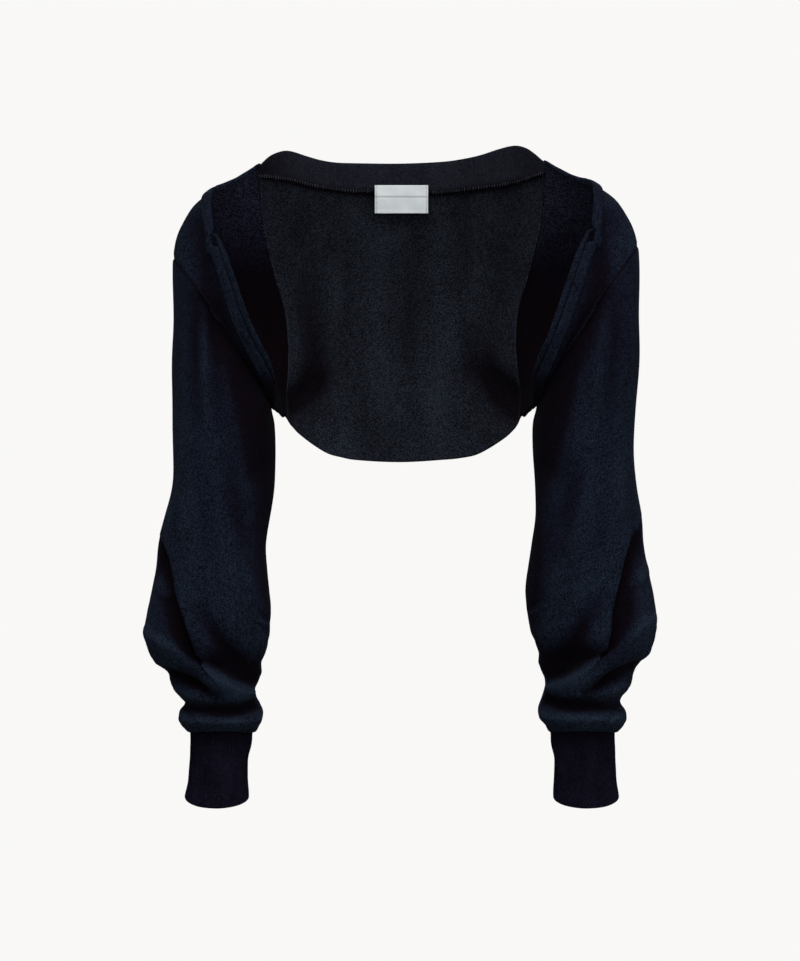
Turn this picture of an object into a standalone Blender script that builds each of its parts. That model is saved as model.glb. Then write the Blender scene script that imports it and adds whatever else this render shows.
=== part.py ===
"""Cropped knitted shrug, hollow and filled out as when it is worn.

The wearer faces -Y, so the wearer's left side is +X. Sizes are millimetres until the meshes are
made. "across" is the distance from the middle of the garment, "depth" runs to the back (+Y) and
"height" is measured from the level where the shoulders carry the cloth.

Each piece is a wall between an outer and an inner grid of points. The grids come from named edge
curves, so that two pieces which are sewn together share the curve of their seam.
"""

import math

import bmesh
import bpy
import numpy as np

MM = 0.001

# Cloth
CLOTH_WALL = 2.0
RIB_WALL = 2.2
SEAM_GAP = 0.3

# Sides of the garment: name and sign of X
SIDES = (("right", -1), ("left", 1))

# Free edge of a shoulder piece, from the neckband over the shoulder, down the front and under
# the arm to the lower corner of the back. "angle" is the place round the armhole that the row
# faces: 0 on top of the shoulder, 90 in front, 180 under the arm, 270 behind. "bulge" lifts the
# cloth between edge and armhole. The last two columns are added on the wearer's left side.
# angle, across, depth, height, bulge, left_across, left_height
FREE_EDGE = (
    (-14, 141.7, 28, 24, 15, 1.0, 3.0),
    (-11, 152.0, 21, 16.5, 17, 0.5, 4.0),
    (-7, 164.0, 14, 9.5, 19, 0.0, 5.0),
    (-3, 176.5, 6, 4, 20, -0.5, 6.0),
    (2, 187.5, -5, -0.5, 20, 0.5, 7.5),
    (12, 190.0, -22, -8, 15, 1.0, 7.0),
    (24, 189.0, -38, -21, 7, 1.5, 6.0),
    (37, 185.0, -53, -44, 0, 2.0, 5.0),
    (50, 178.0, -62, -65, -5, 1.5, 4.0),
    (66, 169.5, -68, -90, -6, 1.0, 3.0),
    (86, 159.0, -69, -122, -5, 0.5, 2.0),
    (105, 147.5, -64, -149, -4, 2.0, 2.0),
    (126, 136.0, -53, -171, -3, 4.0, 2.0),
    (146, 127.5, -38, -191, -2, 5.0, 2.0),
    (163, 126.0, -17, -208, -1, 5.5, 2.0),
    (177, 125.5, 8, -217, 0, 5.5, 2.0),
    (187, 124.0, 36, -222.5, 1, 5.0, 2.0),
    (194, 121.0, 60, -226.5, 2, 4.5, 1.0),
    (200, 117.5, 80, -232, 3, 4.0, 0.5),
)

# Seam between the back and a shoulder piece, from the neckband down to the hem
# angle, across, depth, height, bulge, left_across, left_height
BACK_SEAM = (
    (-14, 141.7, 28, 24, 15, 1.0, 3.0),
    (-20, 142.0, 40, -4, 16, 0.5, 2.0),
    (-28, 139.5, 57, -38, 16, 0.0, 1.0),
    (-38, 133.5, 69, -65, 15, 0.0, 0.0),
    (-55, 127.0, 79, -92, 14, 0.0, 0.0),
    (-79, 118.0, 86, -125, 12, 0.0, 0.0),
    (-103, 115.3, 90, -159, 9, 1.0, 0.0),
    (-128, 116.0, 90, -186, 6, 3.0, 0.0),
    (-146, 118.5, 87, -210, 4, 4.0, 0.0),
    (-160, 117.5, 80, -232, 3, 4.0, 0.5),
)

# Armhole: an oval from the point of the shoulder to the underarm
# across and height of both ends for the right and the left side
ARMHOLE_TOP = ((227.5, -69.0), (236.0, -57.0))
ARMHOLE_BOTTOM = ((135.0, -205.0), (141.5, -202.5))
ARMHOLE_FRONT = 64.0
ARMHOLE_BACK = 61.0
ARMHOLE_BOW = 7.0
# How much of a shoulder piece's own slope its wall keeps at the armhole
ARMHOLE_SLOPE_KEPT = 0.25

# Middle of the back: share of the way down from the neck seam to the hem, and depth
BACK_MIDDLE = ((0.00, 82.8), (0.12, 92), (0.28, 102), (0.46, 108), (0.66, 110), (0.84, 107), (1.00, 101))
BACK_SQUARENESS = 2.2
BACK_TOP_AT = 0.028
SEAM_STEP = 0.02

# Hem of the back, from the right corner to the left: across, depth, height
HEM = (
    (-117.5, 80, -232),
    (-111, 84.5, -240),
    (-104, 88, -248.5),
    (-90, 93, -260.5),
    (-76, 96.5, -269),
    (-62, 98.5, -273),
    (-45, 100, -276),
    (0, 101, -278),
    (45, 100, -275.5),
    (62, 98.5, -273.5),
    (76, 96.5, -270.5),
    (90, 93, -263.5),
    (104, 88, -253.5),
    (113, 84.5, -244.5),
    (121.5, 80, -231.5),
)

# Curl of the lower corners of the back: place across, relief towards the front, reach across
# and reach up from the hem, as shares of the panel
HEM_CURL = ((0.89, 3.5, 0.11, 0.17), (0.70, -3.5, 0.13, 0.16))
CURL_FADE = 0.10

# Neckband: across, depth of its inside, height of its top and of its serged lower edge
NECKBAND = (
    (-141.5, 25.5, 25, 12.5),
    (-133.5, 32, 32.5, 12.0),
    (-126.0, 38, 36.5, 10.5),
    (-117.0, 44.5, 38.5, 8.5),
    (-108.0, 51, 37.0, 6.5),
    (-96.0, 57, 33.0, 3.5),
    (-82.0, 64, 29.0, 1.0),
    (-66.0, 69, 26.5, -1.5),
    (-42.0, 74.5, 25.7, -4.0),
    (0.0, 78, 25.4, -5.0),
    (42.0, 74.5, 27.3, -4.0),
    (66.0, 69, 30.8, -2.0),
    (82.0, 64, 34.6, 0.0),
    (96.0, 57, 39.3, 2.0),
    (108.0, 51, 42.6, 4.5),
    (117.0, 44.5, 43.5, 6.5),
    (126.0, 38, 41.0, 9.5),
    (134.0, 32, 35.5, 12.5),
    (142.5, 24.8, 28.0, 15.2),
)
NECK_ALLOWANCE = 6.0
NECKBAND_THICK = 3.4
NECK_FLANGE_THICK = 1.8
NECK_CLEAR = 1.3
NECK_DROP = 1.2
NECK_LEAN = 3.0
NECK_ROUND = 1.3

# Sleeve below the armhole, one row a section: height, outer and inner limits across for the
# right and the left sleeve, half depth, depth of its middle
SLEEVE_SECTIONS = (
    (-232, 228.8, 126.0, 232.6, 129.6, 62, 0),
    (-258, 228.2, 123.9, 231.2, 129.0, 61, -1),
    (-290, 229.4, 126.7, 235.5, 134.1, 60, -3),
    (-322, 236.3, 131.6, 239.9, 135.0, 60, -6),
    (-352, 241.6, 134.4, 240.8, 129.7, 60, -9),
    (-376, 244.5, 133.3, 245.2, 125.9, 61, -11),
    (-398, 249.0, 131.9, 250.5, 123.6, 61, -13),
    (-418, 252.8, 130.3, 253.3, 125.2, 60, -15),
    (-436, 255.7, 131.1, 253.5, 127.9, 59, -17),
    (-450, 255.2, 132.5, 251.5, 132.5, 57, -18),
    (-462, 251.6, 136.4, 247.8, 137.2, 54, -18),
    (-472, 246.0, 140.3, 237.5, 137.0, 51, -19),
    (-481, 233.8, 140.3, 232.4, 141.0, 48, -19),
    (-489, 231.5, 143.4, 230.5, 144.0, 46, -20),
    (-497, 228.2, 146.4, 227.3, 143.7, 44, -20),
    (-505, 221.2, 145.3, 219.8, 140.3, 41, -21),
    (-512, 215.8, 141.4, 218.9, 137.2, 40, -21),
    (-519, 221.8, 138.4, 224.2, 136.3, 42, -22),
    (-527, 223.0, 138.1, 225.2, 137.1, 42, -22),
    (-534, 220.2, 140.2, 222.4, 142.2, 39, -22),
    (-539.5, 214.5, 144.5, 217.0, 146.5, 34, -23),
    (-541, 211.3, 148.2, 213.3, 148.2, 28, -23),
)
# The gathered end rises in front and behind, fading over this share of the sleeve and this
# number of the cuff's rows
SLEEVE_HEM_RISE = 4.0
SLEEVE_RISE_FADE = 0.12
CUFF_RISE_FADE = 1.2
# How far the right and the left sleeve stand out between the armhole and the first section
SLEEVE_TOP_BULGE = (0.6, 3.2)

# Folds of a sleeve. A fold runs along a curve through a start, a middle and an end, each given
# as its share of the way from the inner to the outer limit and its height. "relief" is out (+)
# or in (-); the two widths are to the left and to the right of the curve as it is followed.
# on, start, middle, end, relief, left width, right width
FRONT, BACK = 1, -1
SLEEVE_FOLDS = (
    (FRONT, (1.00, -350), (0.77, -410), (0.58, -468), -13.0, 17.0, 4.0),
    (FRONT, (0.99, -441), (0.68, -462), (0.04, -503), 6.5, 10.0, 7.0),
    (FRONT, (0.60, -452), (0.36, -478), (0.06, -489), -10.0, 6.0, 12.0),
    (FRONT, (0.66, -422), (0.44, -446), (0.24, -470), -5.0, 9.0, 9.0),
    (FRONT, (0.88, -484), (0.64, -491), (0.42, -505), -8.5, 6.0, 5.0),
    (FRONT, (0.93, -515), (0.50, -516), (0.02, -518), -6.0, 5.5, 5.5),
    (FRONT, (0.95, -529), (0.50, -527), (0.05, -530), 3.0, 6.0, 6.0),
    (FRONT, (0.34, -190), (0.24, -255), (0.12, -330), -7.0, 15.0, 12.0),
    (FRONT, (0.52, -270), (0.42, -330), (0.18, -395), -4.0, 13.0, 13.0),
    (FRONT, (0.76, -190), (0.74, -250), (0.66, -320), -3.0, 12.0, 12.0),
    (BACK, (0.98, -368), (0.72, -425), (0.50, -476), -9.0, 14.0, 6.0),
    (BACK, (0.95, -452), (0.60, -470), (0.08, -494), 6.0, 10.0, 8.0),
    (BACK, (0.70, -470), (0.40, -486), (0.10, -500), -7.0, 7.0, 9.0),
    (BACK, (0.93, -514), (0.50, -517), (0.04, -516), -6.0, 5.5, 5.5),
    (BACK, (0.36, -200), (0.30, -280), (0.20, -360), -5.0, 15.0, 15.0),
    (BACK, (0.70, -230), (0.62, -310), (0.52, -390), -4.0, 14.0, 14.0),
)
# A fold fades over this share of its length at both ends, to this share of its relief
FOLD_FADE = 0.25
FOLD_END_RELIEF = 0.35
# How steeply folds grow from the sleeve's inner and outer limits, and over how many end rows
SIDE_GROWTH = 2.2
END_ROWS = 2

# Cuff, one row a section: height, middle across and half width for the right and the left
# cuff, half depth, depth of its middle, and how much lower its front hangs than its back
CUFF_SECTIONS = (
    (-541.5, 179.9, 31.2, 180.9, 32.2, 28.0, -23, 0.0),
    (-552, 180.4, 30.3, 181.3, 31.5, 26.5, -23.5, 0.5),
    (-566, 181.9, 29.1, 182.7, 30.5, 25.0, -24, 1.5),
    (-589, 183.7, 30.4, 183.9, 31.8, 25.5, -25, 4.5),
    (-605.5, 184.6, 32.0, 184.5, 32.8, 27.0, -26, 7.5),
)
CUFF_RIBS = 46
RIB_RELIEF = 0.55

# Front band, a folded strip sewn over the free edge, and the turning that shows inside it
BAND_WIDTH = 10.5
BAND_OVERHANG = 1.0
BAND_SEAT = 0.6
TURNING_WIDTH = 6.6
TURNING_THICK = 2.6
TURNING_SEAT = 0.6
TURNING_OVERHANG = 1.5
# First and last place of the turning along the free edge, and the places it widens over
TURNING_REACH = (5, 24)
TURNING_ENDS = (6, 4)
TURNING_TIP = 0.25
# Section of the band: share of its width from the edge, height above its seat
BAND_PROFILE = ((0.0, 0.0), (-0.02, 0.84), (0.12, 2.0), (0.55, 2.3), (0.90, 1.9), (1.0, 0.6),
                (0.98, 0.0))
# Section of the turning: share of its width beyond the edge, height in thicknesses
TURNING_PROFILE = ((0.0, -0.5), (0.05, 0.35), (0.5, 0.55), (0.95, 0.2), (1.0, -0.4), (0.5, -0.55))
GAPE_AT = 0.335
GAPE_LENGTH = 0.022
GAPE_DEPTH = 4.2
GAPE_LEAST = 0.05

# Blank label over the neck seam
LABEL_WIDTH = 54.0
LABEL_TOP = 3.5
LABEL_BOTTOM = -25.0
LABEL_THICK = 0.7
LABEL_SEAT = 0.5
LABEL_EASE = 15.0

# Mesh density
SHOULDER_ROWS = 6
FREE_EDGE_STEPS = 33
BACK_SEAM_STEPS = 13
BACK_COLUMNS = 18
SLEEVE_COLUMNS = 34
SLEEVE_TOP_ROWS = 5
NECKBAND_STEPS = 30
LABEL_ROWS = 6
LABEL_COLUMNS = 8
CUFF_ROWS = 5
FOLD_POINTS = 14

# Steps of the searches: along the cloth, as shares of a shoulder piece, and for a height
WALK_STEP = 0.01
WALK_LIMIT = 0.9
HALVINGS = 24

# colour, roughness
FLEECE = ("navy_fleece", (0.008, 0.011, 0.020), 0.92)
RIB = ("navy_rib", (0.009, 0.010, 0.017), 0.85)
SATIN = ("white_satin", (0.62, 0.65, 0.66), 0.45)


# ---------------------------------------------------------------- curves and small helpers

def smooth_rows(rows, place):
    """Read a table between its rows: place runs from 0 at the first row to 1 at the last."""
    last = len(rows) - 1
    at = min(max(place, 0.0), 1.0) * last
    k = min(int(at), last - 1)
    f = at - k
    a, b, c, d = (np.array(rows[min(max(i, 0), last)], float) for i in (k - 1, k, k + 1, k + 2))
    if k == 0:
        a = 2 * b - c
    if k == last - 1:
        d = 2 * c - b
    return 0.5 * ((2 * b) + (c - a) * f + (2 * a - 5 * b + 4 * c - d) * f**2
                  + (3 * b - a - 3 * c + d) * f**3)


def read_at(rows, key):
    """Read a table at a value of its first column."""
    keys = [row[0] for row in rows]
    k = min(max(int(np.searchsorted(keys, key)) - 1, 0), len(keys) - 2)
    f = (key - keys[k]) / (keys[k + 1] - keys[k])
    return smooth_rows(rows, (k + f) / (len(keys) - 1))


def unit(v):
    """The same direction with length 1."""
    return v / max(np.linalg.norm(v), 1e-9)


def bell(x):
    """A smooth bump, 1 at 0 and nearly 0 past 2."""
    return math.exp(-x * x)


def mirrored(point, sign):
    """Turn across, depth, height into x, y, z on one side of the garment."""
    return np.array((sign * point[0], point[1], point[2]))


# ---------------------------------------------------------------- edge curves

def edge_row(table, place, sign):
    """One place on an edge curve: its point (across, depth, height), angle and bulge."""
    angle, across, depth, height, bulge, left_across, left_height = smooth_rows(table, place)
    if sign > 0:
        across += left_across
        height += left_height
    return np.array((across, depth, height)), math.radians(angle), bulge


def armhole_point(angle, sign):
    """A point of the armhole seam and the outward direction there (across, depth, height)."""
    column = 0 if sign < 0 else 1
    top = np.array((ARMHOLE_TOP[column][0], 0.0, ARMHOLE_TOP[column][1]))
    bottom = np.array((ARMHOLE_BOTTOM[column][0], 0.0, ARMHOLE_BOTTOM[column][1]))
    middle = (top + bottom) / 2
    long_axis = unit(top - bottom)
    half = np.linalg.norm(top - bottom) / 2
    reach = ARMHOLE_FRONT if math.sin(angle) > 0 else ARMHOLE_BACK
    bow_axis = np.array((-long_axis[2], 0.0, long_axis[0]))
    point = (middle + long_axis * half * math.cos(angle)
             + np.array((0.0, -reach * math.sin(angle), 0.0))
             + bow_axis * ARMHOLE_BOW * math.sin(angle)**2)
    outward = unit(long_axis * math.cos(angle) / half
                   + np.array((0.0, -math.sin(angle) / reach, 0.0)))
    return point, outward


# ---------------------------------------------------------------- shoulder pieces

def seam_places():
    """The places down the back seam that the back and a shoulder piece share, hem last."""
    return [BACK_TOP_AT + (1 - BACK_TOP_AT) * i / BACK_SEAM_STEPS for i in range(BACK_SEAM_STEPS + 1)]


def shoulder_places():
    """The places round a shoulder piece: (table, place) for its free edge and its back seam."""
    free = [(FREE_EDGE, i / FREE_EDGE_STEPS) for i in range(FREE_EDGE_STEPS + 1)]
    seam = [(BACK_SEAM, place) for place in reversed(seam_places()[:-1])]
    return free + seam


def gape(table, place):
    """How far the free edge is drawn back where the band gapes, near the front of the shoulder."""
    if table is not FREE_EDGE:
        return 0.0
    return GAPE_DEPTH * bell((place - GAPE_AT) / GAPE_LENGTH)


def shoulder_point(table, place, share, sign):
    """A point of the shoulder piece: share is 0 on its edge and 1 on the armhole seam."""
    edge, angle, bulge = edge_row(table, place, sign)
    hole, outward = armhole_point(angle, sign)
    across_piece = hole - edge
    lift = unit(outward - across_piece * np.dot(outward, across_piece)
                / max(np.dot(across_piece, across_piece), 1e-9))
    middle = (edge + hole) / 2 + lift * bulge
    return (1 - share)**2 * edge + 2 * share * (1 - share) * middle + share**2 * hole


def share_at(table, place, distance, sign):
    """The share at which the cloth is a given distance in from the edge."""
    walked = 0.0
    share = 0.0
    last = shoulder_point(table, place, 0.0, sign)
    while walked < distance and share < WALK_LIMIT:
        share += WALK_STEP
        now = shoulder_point(table, place, share, sign)
        walked += np.linalg.norm(now - last)
        last = now
    return share


def shoulder_grid(sign):
    """Outer points of a shoulder piece: rows from its edge to the armhole, one column a place."""
    places = shoulder_places()
    columns = []
    for table, place in places:
        drawn = gape(table, place)
        start = share_at(table, place, drawn, sign) if drawn > GAPE_LEAST else 0.0
        beside = share_at(table, place, drawn + BAND_WIDTH, sign)
        shares = [start] + [beside + (1 - beside) * (i / (SHOULDER_ROWS - 1))
                            for i in range(SHOULDER_ROWS)]
        columns.append([shoulder_point(table, place, share, sign) for share in shares])
    return np.array(columns).transpose(1, 0, 2)


def grid_normals(grid, closed):
    """Unit normals of a grid of points, from its neighbours along and across the rows."""
    if closed:
        along = np.roll(grid, -1, axis=1) - np.roll(grid, 1, axis=1)
    else:
        along = np.gradient(grid, axis=1)
    down = np.gradient(grid, axis=0)
    normal = np.cross(along, down)
    return normal / np.maximum(np.linalg.norm(normal, axis=2, keepdims=True), 1e-9)


def shoulder_normals(grid, sign):
    """Outward directions of a shoulder piece, which at the armhole are the seam's own."""
    normals = grid_normals(grid, closed=True)
    if np.sum(normals[-1, 0] * np.array((1.0, 0.0, 0.0))) < 0:
        normals = -normals
    for column, (table, place) in enumerate(shoulder_places()):
        _, angle, _ = edge_row(table, place, sign)
        _, outward = armhole_point(angle, sign)
        normals[-1, column] = unit(outward + ARMHOLE_SLOPE_KEPT * normals[-1, column])
        if table is BACK_SEAM or place == 1.0:
            normals[0, column] = seam_normal(place, sign)
    return normals


def seam_normal(place, sign):
    """The direction out of the cloth on the back seam, midway between the two pieces' own."""
    edge = shoulder_point(BACK_SEAM, place, 0.0, sign)
    low, high = max(place - SEAM_STEP, BACK_TOP_AT), min(place + SEAM_STEP, 1.0)
    down = (shoulder_point(BACK_SEAM, high, 0.0, sign)
            - shoulder_point(BACK_SEAM, low, 0.0, sign))
    beside = share_at(BACK_SEAM, place, BAND_WIDTH, sign)
    into_shoulder = unit(shoulder_point(BACK_SEAM, place, beside, sign) - edge)
    into_back = unit(back_point(sign * (1 - 2 / BACK_COLUMNS), place) - back_point(sign, place))
    into_back = into_back * np.array((sign, 1.0, 1.0))
    normal = unit(np.cross(down, into_shoulder - into_back))
    return normal if normal[1] > 0 else -normal


def pulled_back(grid, row, towards, distance):
    """Move one row of a grid back from a seam, towards a neighbouring row."""
    direction = grid[towards] - grid[row]
    length = np.maximum(np.linalg.norm(direction, axis=1, keepdims=True), 1e-9)
    grid[row] = grid[row] + direction / length * distance


# ---------------------------------------------------------------- meshes

def finish_material(spec):
    """A plain material of the given colour and roughness."""
    name, colour, roughness = spec
    material = bpy.data.materials.get(name)
    if material is None:
        material = bpy.data.materials.new(name)
        material.use_nodes = True
        shader = material.node_tree.nodes["Principled BSDF"]
        shader.inputs["Base Color"].default_value = (*colour, 1.0)
        shader.inputs["Roughness"].default_value = roughness
        shader.inputs["Metallic"].default_value = 0.0
    return material


def add_mesh(name, points, faces, spec, collection):
    """Make one closed piece, its faces pointing out, from points in millimetres."""
    bm = bmesh.new()
    verts = [bm.verts.new(tuple(float(c) * MM for c in p)) for p in points]
    for face in faces:
        bm.faces.new([verts[i] for i in face])
    if bm.calc_volume(signed=True) < 0:
        bmesh.ops.reverse_faces(bm, faces=bm.faces[:])
    mesh = bpy.data.meshes.new(name)
    bm.to_mesh(mesh)
    bm.free()
    mesh.materials.append(finish_material(spec))
    mesh.shade_smooth()
    piece = bpy.data.objects.new(name, mesh)
    collection.objects.link(piece)
    return piece


def wall_faces(rows, columns, closed):
    """Quads of a wall between two equal grids, with the rims that join them."""
    def outer(r, c):
        return r * columns + c % columns

    def inner(r, c):
        return rows * columns + outer(r, c)

    faces = []
    spans = columns if closed else columns - 1
    for r in range(rows - 1):
        for c in range(spans):
            faces.append((outer(r, c), outer(r + 1, c), outer(r + 1, c + 1), outer(r, c + 1)))
            faces.append((inner(r, c), inner(r, c + 1), inner(r + 1, c + 1), inner(r + 1, c)))
    for c in range(spans):
        faces.append((outer(0, c), outer(0, c + 1), inner(0, c + 1), inner(0, c)))
        last = rows - 1
        faces.append((outer(last, c + 1), outer(last, c), inner(last, c), inner(last, c + 1)))
    if not closed:
        for r in range(rows - 1):
            end = columns - 1
            faces.append((outer(r + 1, 0), outer(r, 0), inner(r, 0), inner(r + 1, 0)))
            faces.append((outer(r, end), outer(r + 1, end), inner(r + 1, end), inner(r, end)))
    return faces


def add_wall(name, outer, inner, closed, spec, collection):
    """Make a wall from its outer and inner grids (rows, columns, xyz)."""
    rows, columns = outer.shape[:2]
    points = np.concatenate((outer.reshape(-1, 3), inner.reshape(-1, 3)))
    return add_mesh(name, points, wall_faces(rows, columns, closed), spec, collection)


def add_strip(name, sections, spec, collection):
    """Make a strip from a row of equal closed sections, with flat ends."""
    sections = np.array(sections)
    count, around = sections.shape[:2]
    faces = [tuple(range(around)), tuple((count - 1) * around + i for i in reversed(range(around)))]
    for s in range(count - 1):
        for i in range(around):
            j = (i + 1) % around
            faces.append((s * around + i, (s + 1) * around + i,
                          (s + 1) * around + j, s * around + j))
    return add_mesh(name, sections.reshape(-1, 3), faces, spec, collection)


def to_side(grid, sign):
    """Turn a grid of across, depth, height into x, y, z on one side."""
    return grid * np.array((sign, 1.0, 1.0))


# ---------------------------------------------------------------- pieces

def build_shoulder(side, sign, collection):
    """Shoulder piece, from the back seam over the shoulder to the free front edge."""
    grid = shoulder_grid(sign)
    normals = shoulder_normals(grid, sign)
    pulled_back(grid, -1, -2, SEAM_GAP / 2)
    first_seam = FREE_EDGE_STEPS
    for column in list(range(first_seam, grid.shape[1])) + [0]:
        direction = unit(grid[1, column] - grid[0, column])
        grid[0, column] += direction * SEAM_GAP / 2
    inner = grid - normals * CLOTH_WALL
    add_wall(f"shoulder_{side}", to_side(grid, sign), to_side(inner, sign), True,
             FLEECE, collection)


def edge_frames(sign):
    """Stations along the free edge: edge point, point beside it, outward normal, inward way."""
    grid = shoulder_grid(sign)
    normals = shoulder_normals(grid, sign)
    frames = []
    for column in range(FREE_EDGE_STEPS + 1):
        edge, beside = grid[0, column], grid[1, column]
        way = unit(beside - edge)
        frames.append((edge, beside, normals[0, column], normals[1, column], way))
    return frames


def build_front_band(side, sign, collection):
    """Folded strip sewn over the whole free edge of a shoulder piece."""
    sections = []
    for edge, beside, edge_normal, beside_normal, way in edge_frames(sign)[:-1]:
        section = []
        start = edge - way * BAND_OVERHANG
        for share, rise in BAND_PROFILE:
            base = start + (beside - way * SEAM_GAP - start) * share
            normal = unit(edge_normal * (1 - share) + beside_normal * share)
            section.append(mirrored(base + normal * (BAND_SEAT + rise), sign))
        sections.append(section)
    add_strip(f"front_band_{side}", sections, FLEECE, collection)


def build_turning(side, sign, collection):
    """Inner layer of the front band, which shows as a narrow strip beyond its edge."""
    frames = edge_frames(sign)
    first, last = TURNING_REACH
    sections = []
    for k in range(first, last + 1):
        edge, _, normal, _, way = frames[k]
        edge = edge - way * gape(FREE_EDGE, k / FREE_EDGE_STEPS)
        grown = (min((k - first + 1) / TURNING_ENDS[0], 1.0)
                 * min((last - k + 1) / TURNING_ENDS[1], 1.0))
        width = TURNING_WIDTH * (TURNING_TIP + (1 - TURNING_TIP) * grown)
        start = edge - way * TURNING_OVERHANG
        sections.append([mirrored(start - way * width * share
                                  + normal * (rise * TURNING_THICK - TURNING_SEAT), sign)
                         for share, rise in TURNING_PROFILE])
    add_strip(f"band_turning_{side}", sections, FLEECE, collection)


def neck_seam(across):
    """Outer point of the top of the back, behind the neckband's allowance."""
    _, depth, _, low = read_at(NECKBAND, across)
    behind = NECK_FLANGE_THICK + NECK_CLEAR + CLOTH_WALL
    return np.array((across, depth + behind / neck_run(across)[0], low + NECK_ALLOWANCE - NECK_DROP))


def neck_run(across):
    """Level direction of the neckband at a place across."""
    ahead, behind = read_at(NECKBAND, across + 1.0), read_at(NECKBAND, across - 1.0)
    return unit(np.array((ahead[0] - behind[0], ahead[1] - behind[1], 0.0)))


def back_point(across, place):
    """A point of the back between its four edges.

    across runs from -1 at the right seam to 1 at the left, place down the back seam.
    """
    down = (place - BACK_TOP_AT) / (1 - BACK_TOP_AT)
    share = (across + 1) / 2
    sides = [mirrored(edge_row(BACK_SEAM, place, sign)[0], sign) for sign in (-1, 1)]
    top_ends = [mirrored(edge_row(BACK_SEAM, BACK_TOP_AT, sign)[0], sign) for sign in (-1, 1)]
    hem_ends = [mirrored(edge_row(BACK_SEAM, 1.0, sign)[0], sign) for sign in (-1, 1)]
    side_to_side = sides[0] + (sides[1] - sides[0]) * share
    top = spanned(neck_seam, top_ends, share) * (1 - down)**2
    hem = spanned(lambda x: read_at(HEM, x), hem_ends, share) * down
    point = side_to_side + top + hem
    middle_now = ((sides[0] + sides[1]) / 2 + spanned(neck_seam, top_ends, 0.5) * (1 - down)**2
                  + spanned(lambda x: read_at(HEM, x), hem_ends, 0.5) * down)
    point[1] += (read_at(BACK_MIDDLE, down)[1] - middle_now[1]) * (1 - abs(across)**BACK_SQUARENESS)
    for centre, relief, width, reach in HEM_CURL:
        seam_fade = min((1 - abs(across)) / CURL_FADE, 1.0)
        curl = bell((abs(across) - centre) / width) * bell((1 - down) / reach)
        point[1] -= relief * curl * seam_fade
    return point


def spanned(curve, ends, share):
    """How far a curve across the back stands off the straight line between two corners.

    What the curve misses the corners by is taken out evenly, so that it starts and ends on them.
    """
    chord = ends[0] + (ends[1] - ends[0]) * share
    missed = [curve(end[0]) - end for end in ends]
    return curve(chord[0]) - chord - missed[0] * (1 - share) - missed[1] * share


def build_back(collection):
    """Back panel, from the neck seam to the curved hem."""
    places = seam_places()
    rows = len(places)
    grid = np.array([[back_point(-1 + 2 * c / BACK_COLUMNS, place)
                      for c in range(BACK_COLUMNS + 1)] for place in places])
    normals = grid_normals(grid, closed=False)
    if normals[rows // 2, BACK_COLUMNS // 2, 1] < 0:
        normals = -normals
    for sign, column, neighbour in ((-1, 0, 1), (1, BACK_COLUMNS, BACK_COLUMNS - 1)):
        for r, place in enumerate(places):
            normals[r, column] = mirrored(seam_normal(place, sign), sign)
            grid[r, column] += unit(grid[r, neighbour] - grid[r, column]) * SEAM_GAP / 2
    inner = grid - normals * CLOTH_WALL
    add_wall("back", grid, inner, False, FLEECE, collection)


def build_neckband(collection):
    """Folded rib band round the back of the neck, its seam allowance turned down inside."""
    sections = []
    for k in range(NECKBAND_STEPS + 1):
        across, depth, top, low = smooth_rows(NECKBAND, k / NECKBAND_STEPS)
        run = neck_run(across)
        out = np.array((-run[1], run[0], 0.0))
        seam = low + NECK_ALLOWANCE
        back = NECKBAND_THICK - NECK_LEAN
        profile = ((0.0, low), (0.0, seam), (-NECK_LEAN, top - NECK_ROUND),
                   (NECK_ROUND / 2 - NECK_LEAN, top), (back - NECK_ROUND / 2, top),
                   (back, top - NECK_ROUND), (NECKBAND_THICK, seam + SEAM_GAP),
                   (NECK_FLANGE_THICK, seam), (NECK_FLANGE_THICK, low))
        section = np.array([np.array((across, depth, height)) + out * away
                            for away, height in profile])
        section[:, 0] = np.clip(section[:, 0], NECKBAND[0][0] + 2 * SEAM_GAP,
                                NECKBAND[-1][0] - 2 * SEAM_GAP)
        sections.append(section)
    add_strip("neckband", sections, RIB, collection)


def build_label(collection):
    """Blank label, sewn over the neck seam on the inside of the back."""
    outer = np.zeros((LABEL_ROWS + 1, LABEL_COLUMNS + 1, 3))
    for r in range(LABEL_ROWS + 1):
        height = LABEL_TOP + (LABEL_BOTTOM - LABEL_TOP) * r / LABEL_ROWS
        for c in range(LABEL_COLUMNS + 1):
            across = LABEL_WIDTH * (c / LABEL_COLUMNS - 0.5)
            _, depth, top, low = read_at(NECKBAND, across)
            seam = low + NECK_ALLOWANCE
            lean = NECK_LEAN * max(height - seam, 0.0) / (top - seam)
            ease = min(max((low - NECK_ROUND - height) / LABEL_EASE, 0.0), 1.0)
            panel = panel_depth(across, height) - CLOTH_WALL - LABEL_SEAT
            resting = (1 - ease) * (depth - lean - LABEL_SEAT) + ease * panel
            outer[r, c] = (across, min(resting, panel), height)
    inner = outer - np.array((0.0, LABEL_THICK, 0.0))
    add_wall("label", outer, inner, False, SATIN, collection)


def panel_depth(across, height):
    """Depth of the back's outside at a place behind the label."""
    share = across / BACK_SEAM[1][1]
    low, high = BACK_TOP_AT, 1.0
    for _ in range(HALVINGS):
        middle = (low + high) / 2
        if back_point(share, middle)[2] > height:
            low = middle
        else:
            high = middle
    return back_point(share, low)[1]


# ---------------------------------------------------------------- sleeves

def fold_curve(start, middle, end):
    """Points of the quadratic curve that passes through three points."""
    start, middle, end = (np.array(p, float) for p in (start, middle, end))
    handle = 2 * middle - (start + end) / 2
    places = np.linspace(0, 1, FOLD_POINTS)
    return [((1 - t)**2 * start + 2 * t * (1 - t) * handle + t**2 * end, t) for t in places]


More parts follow.
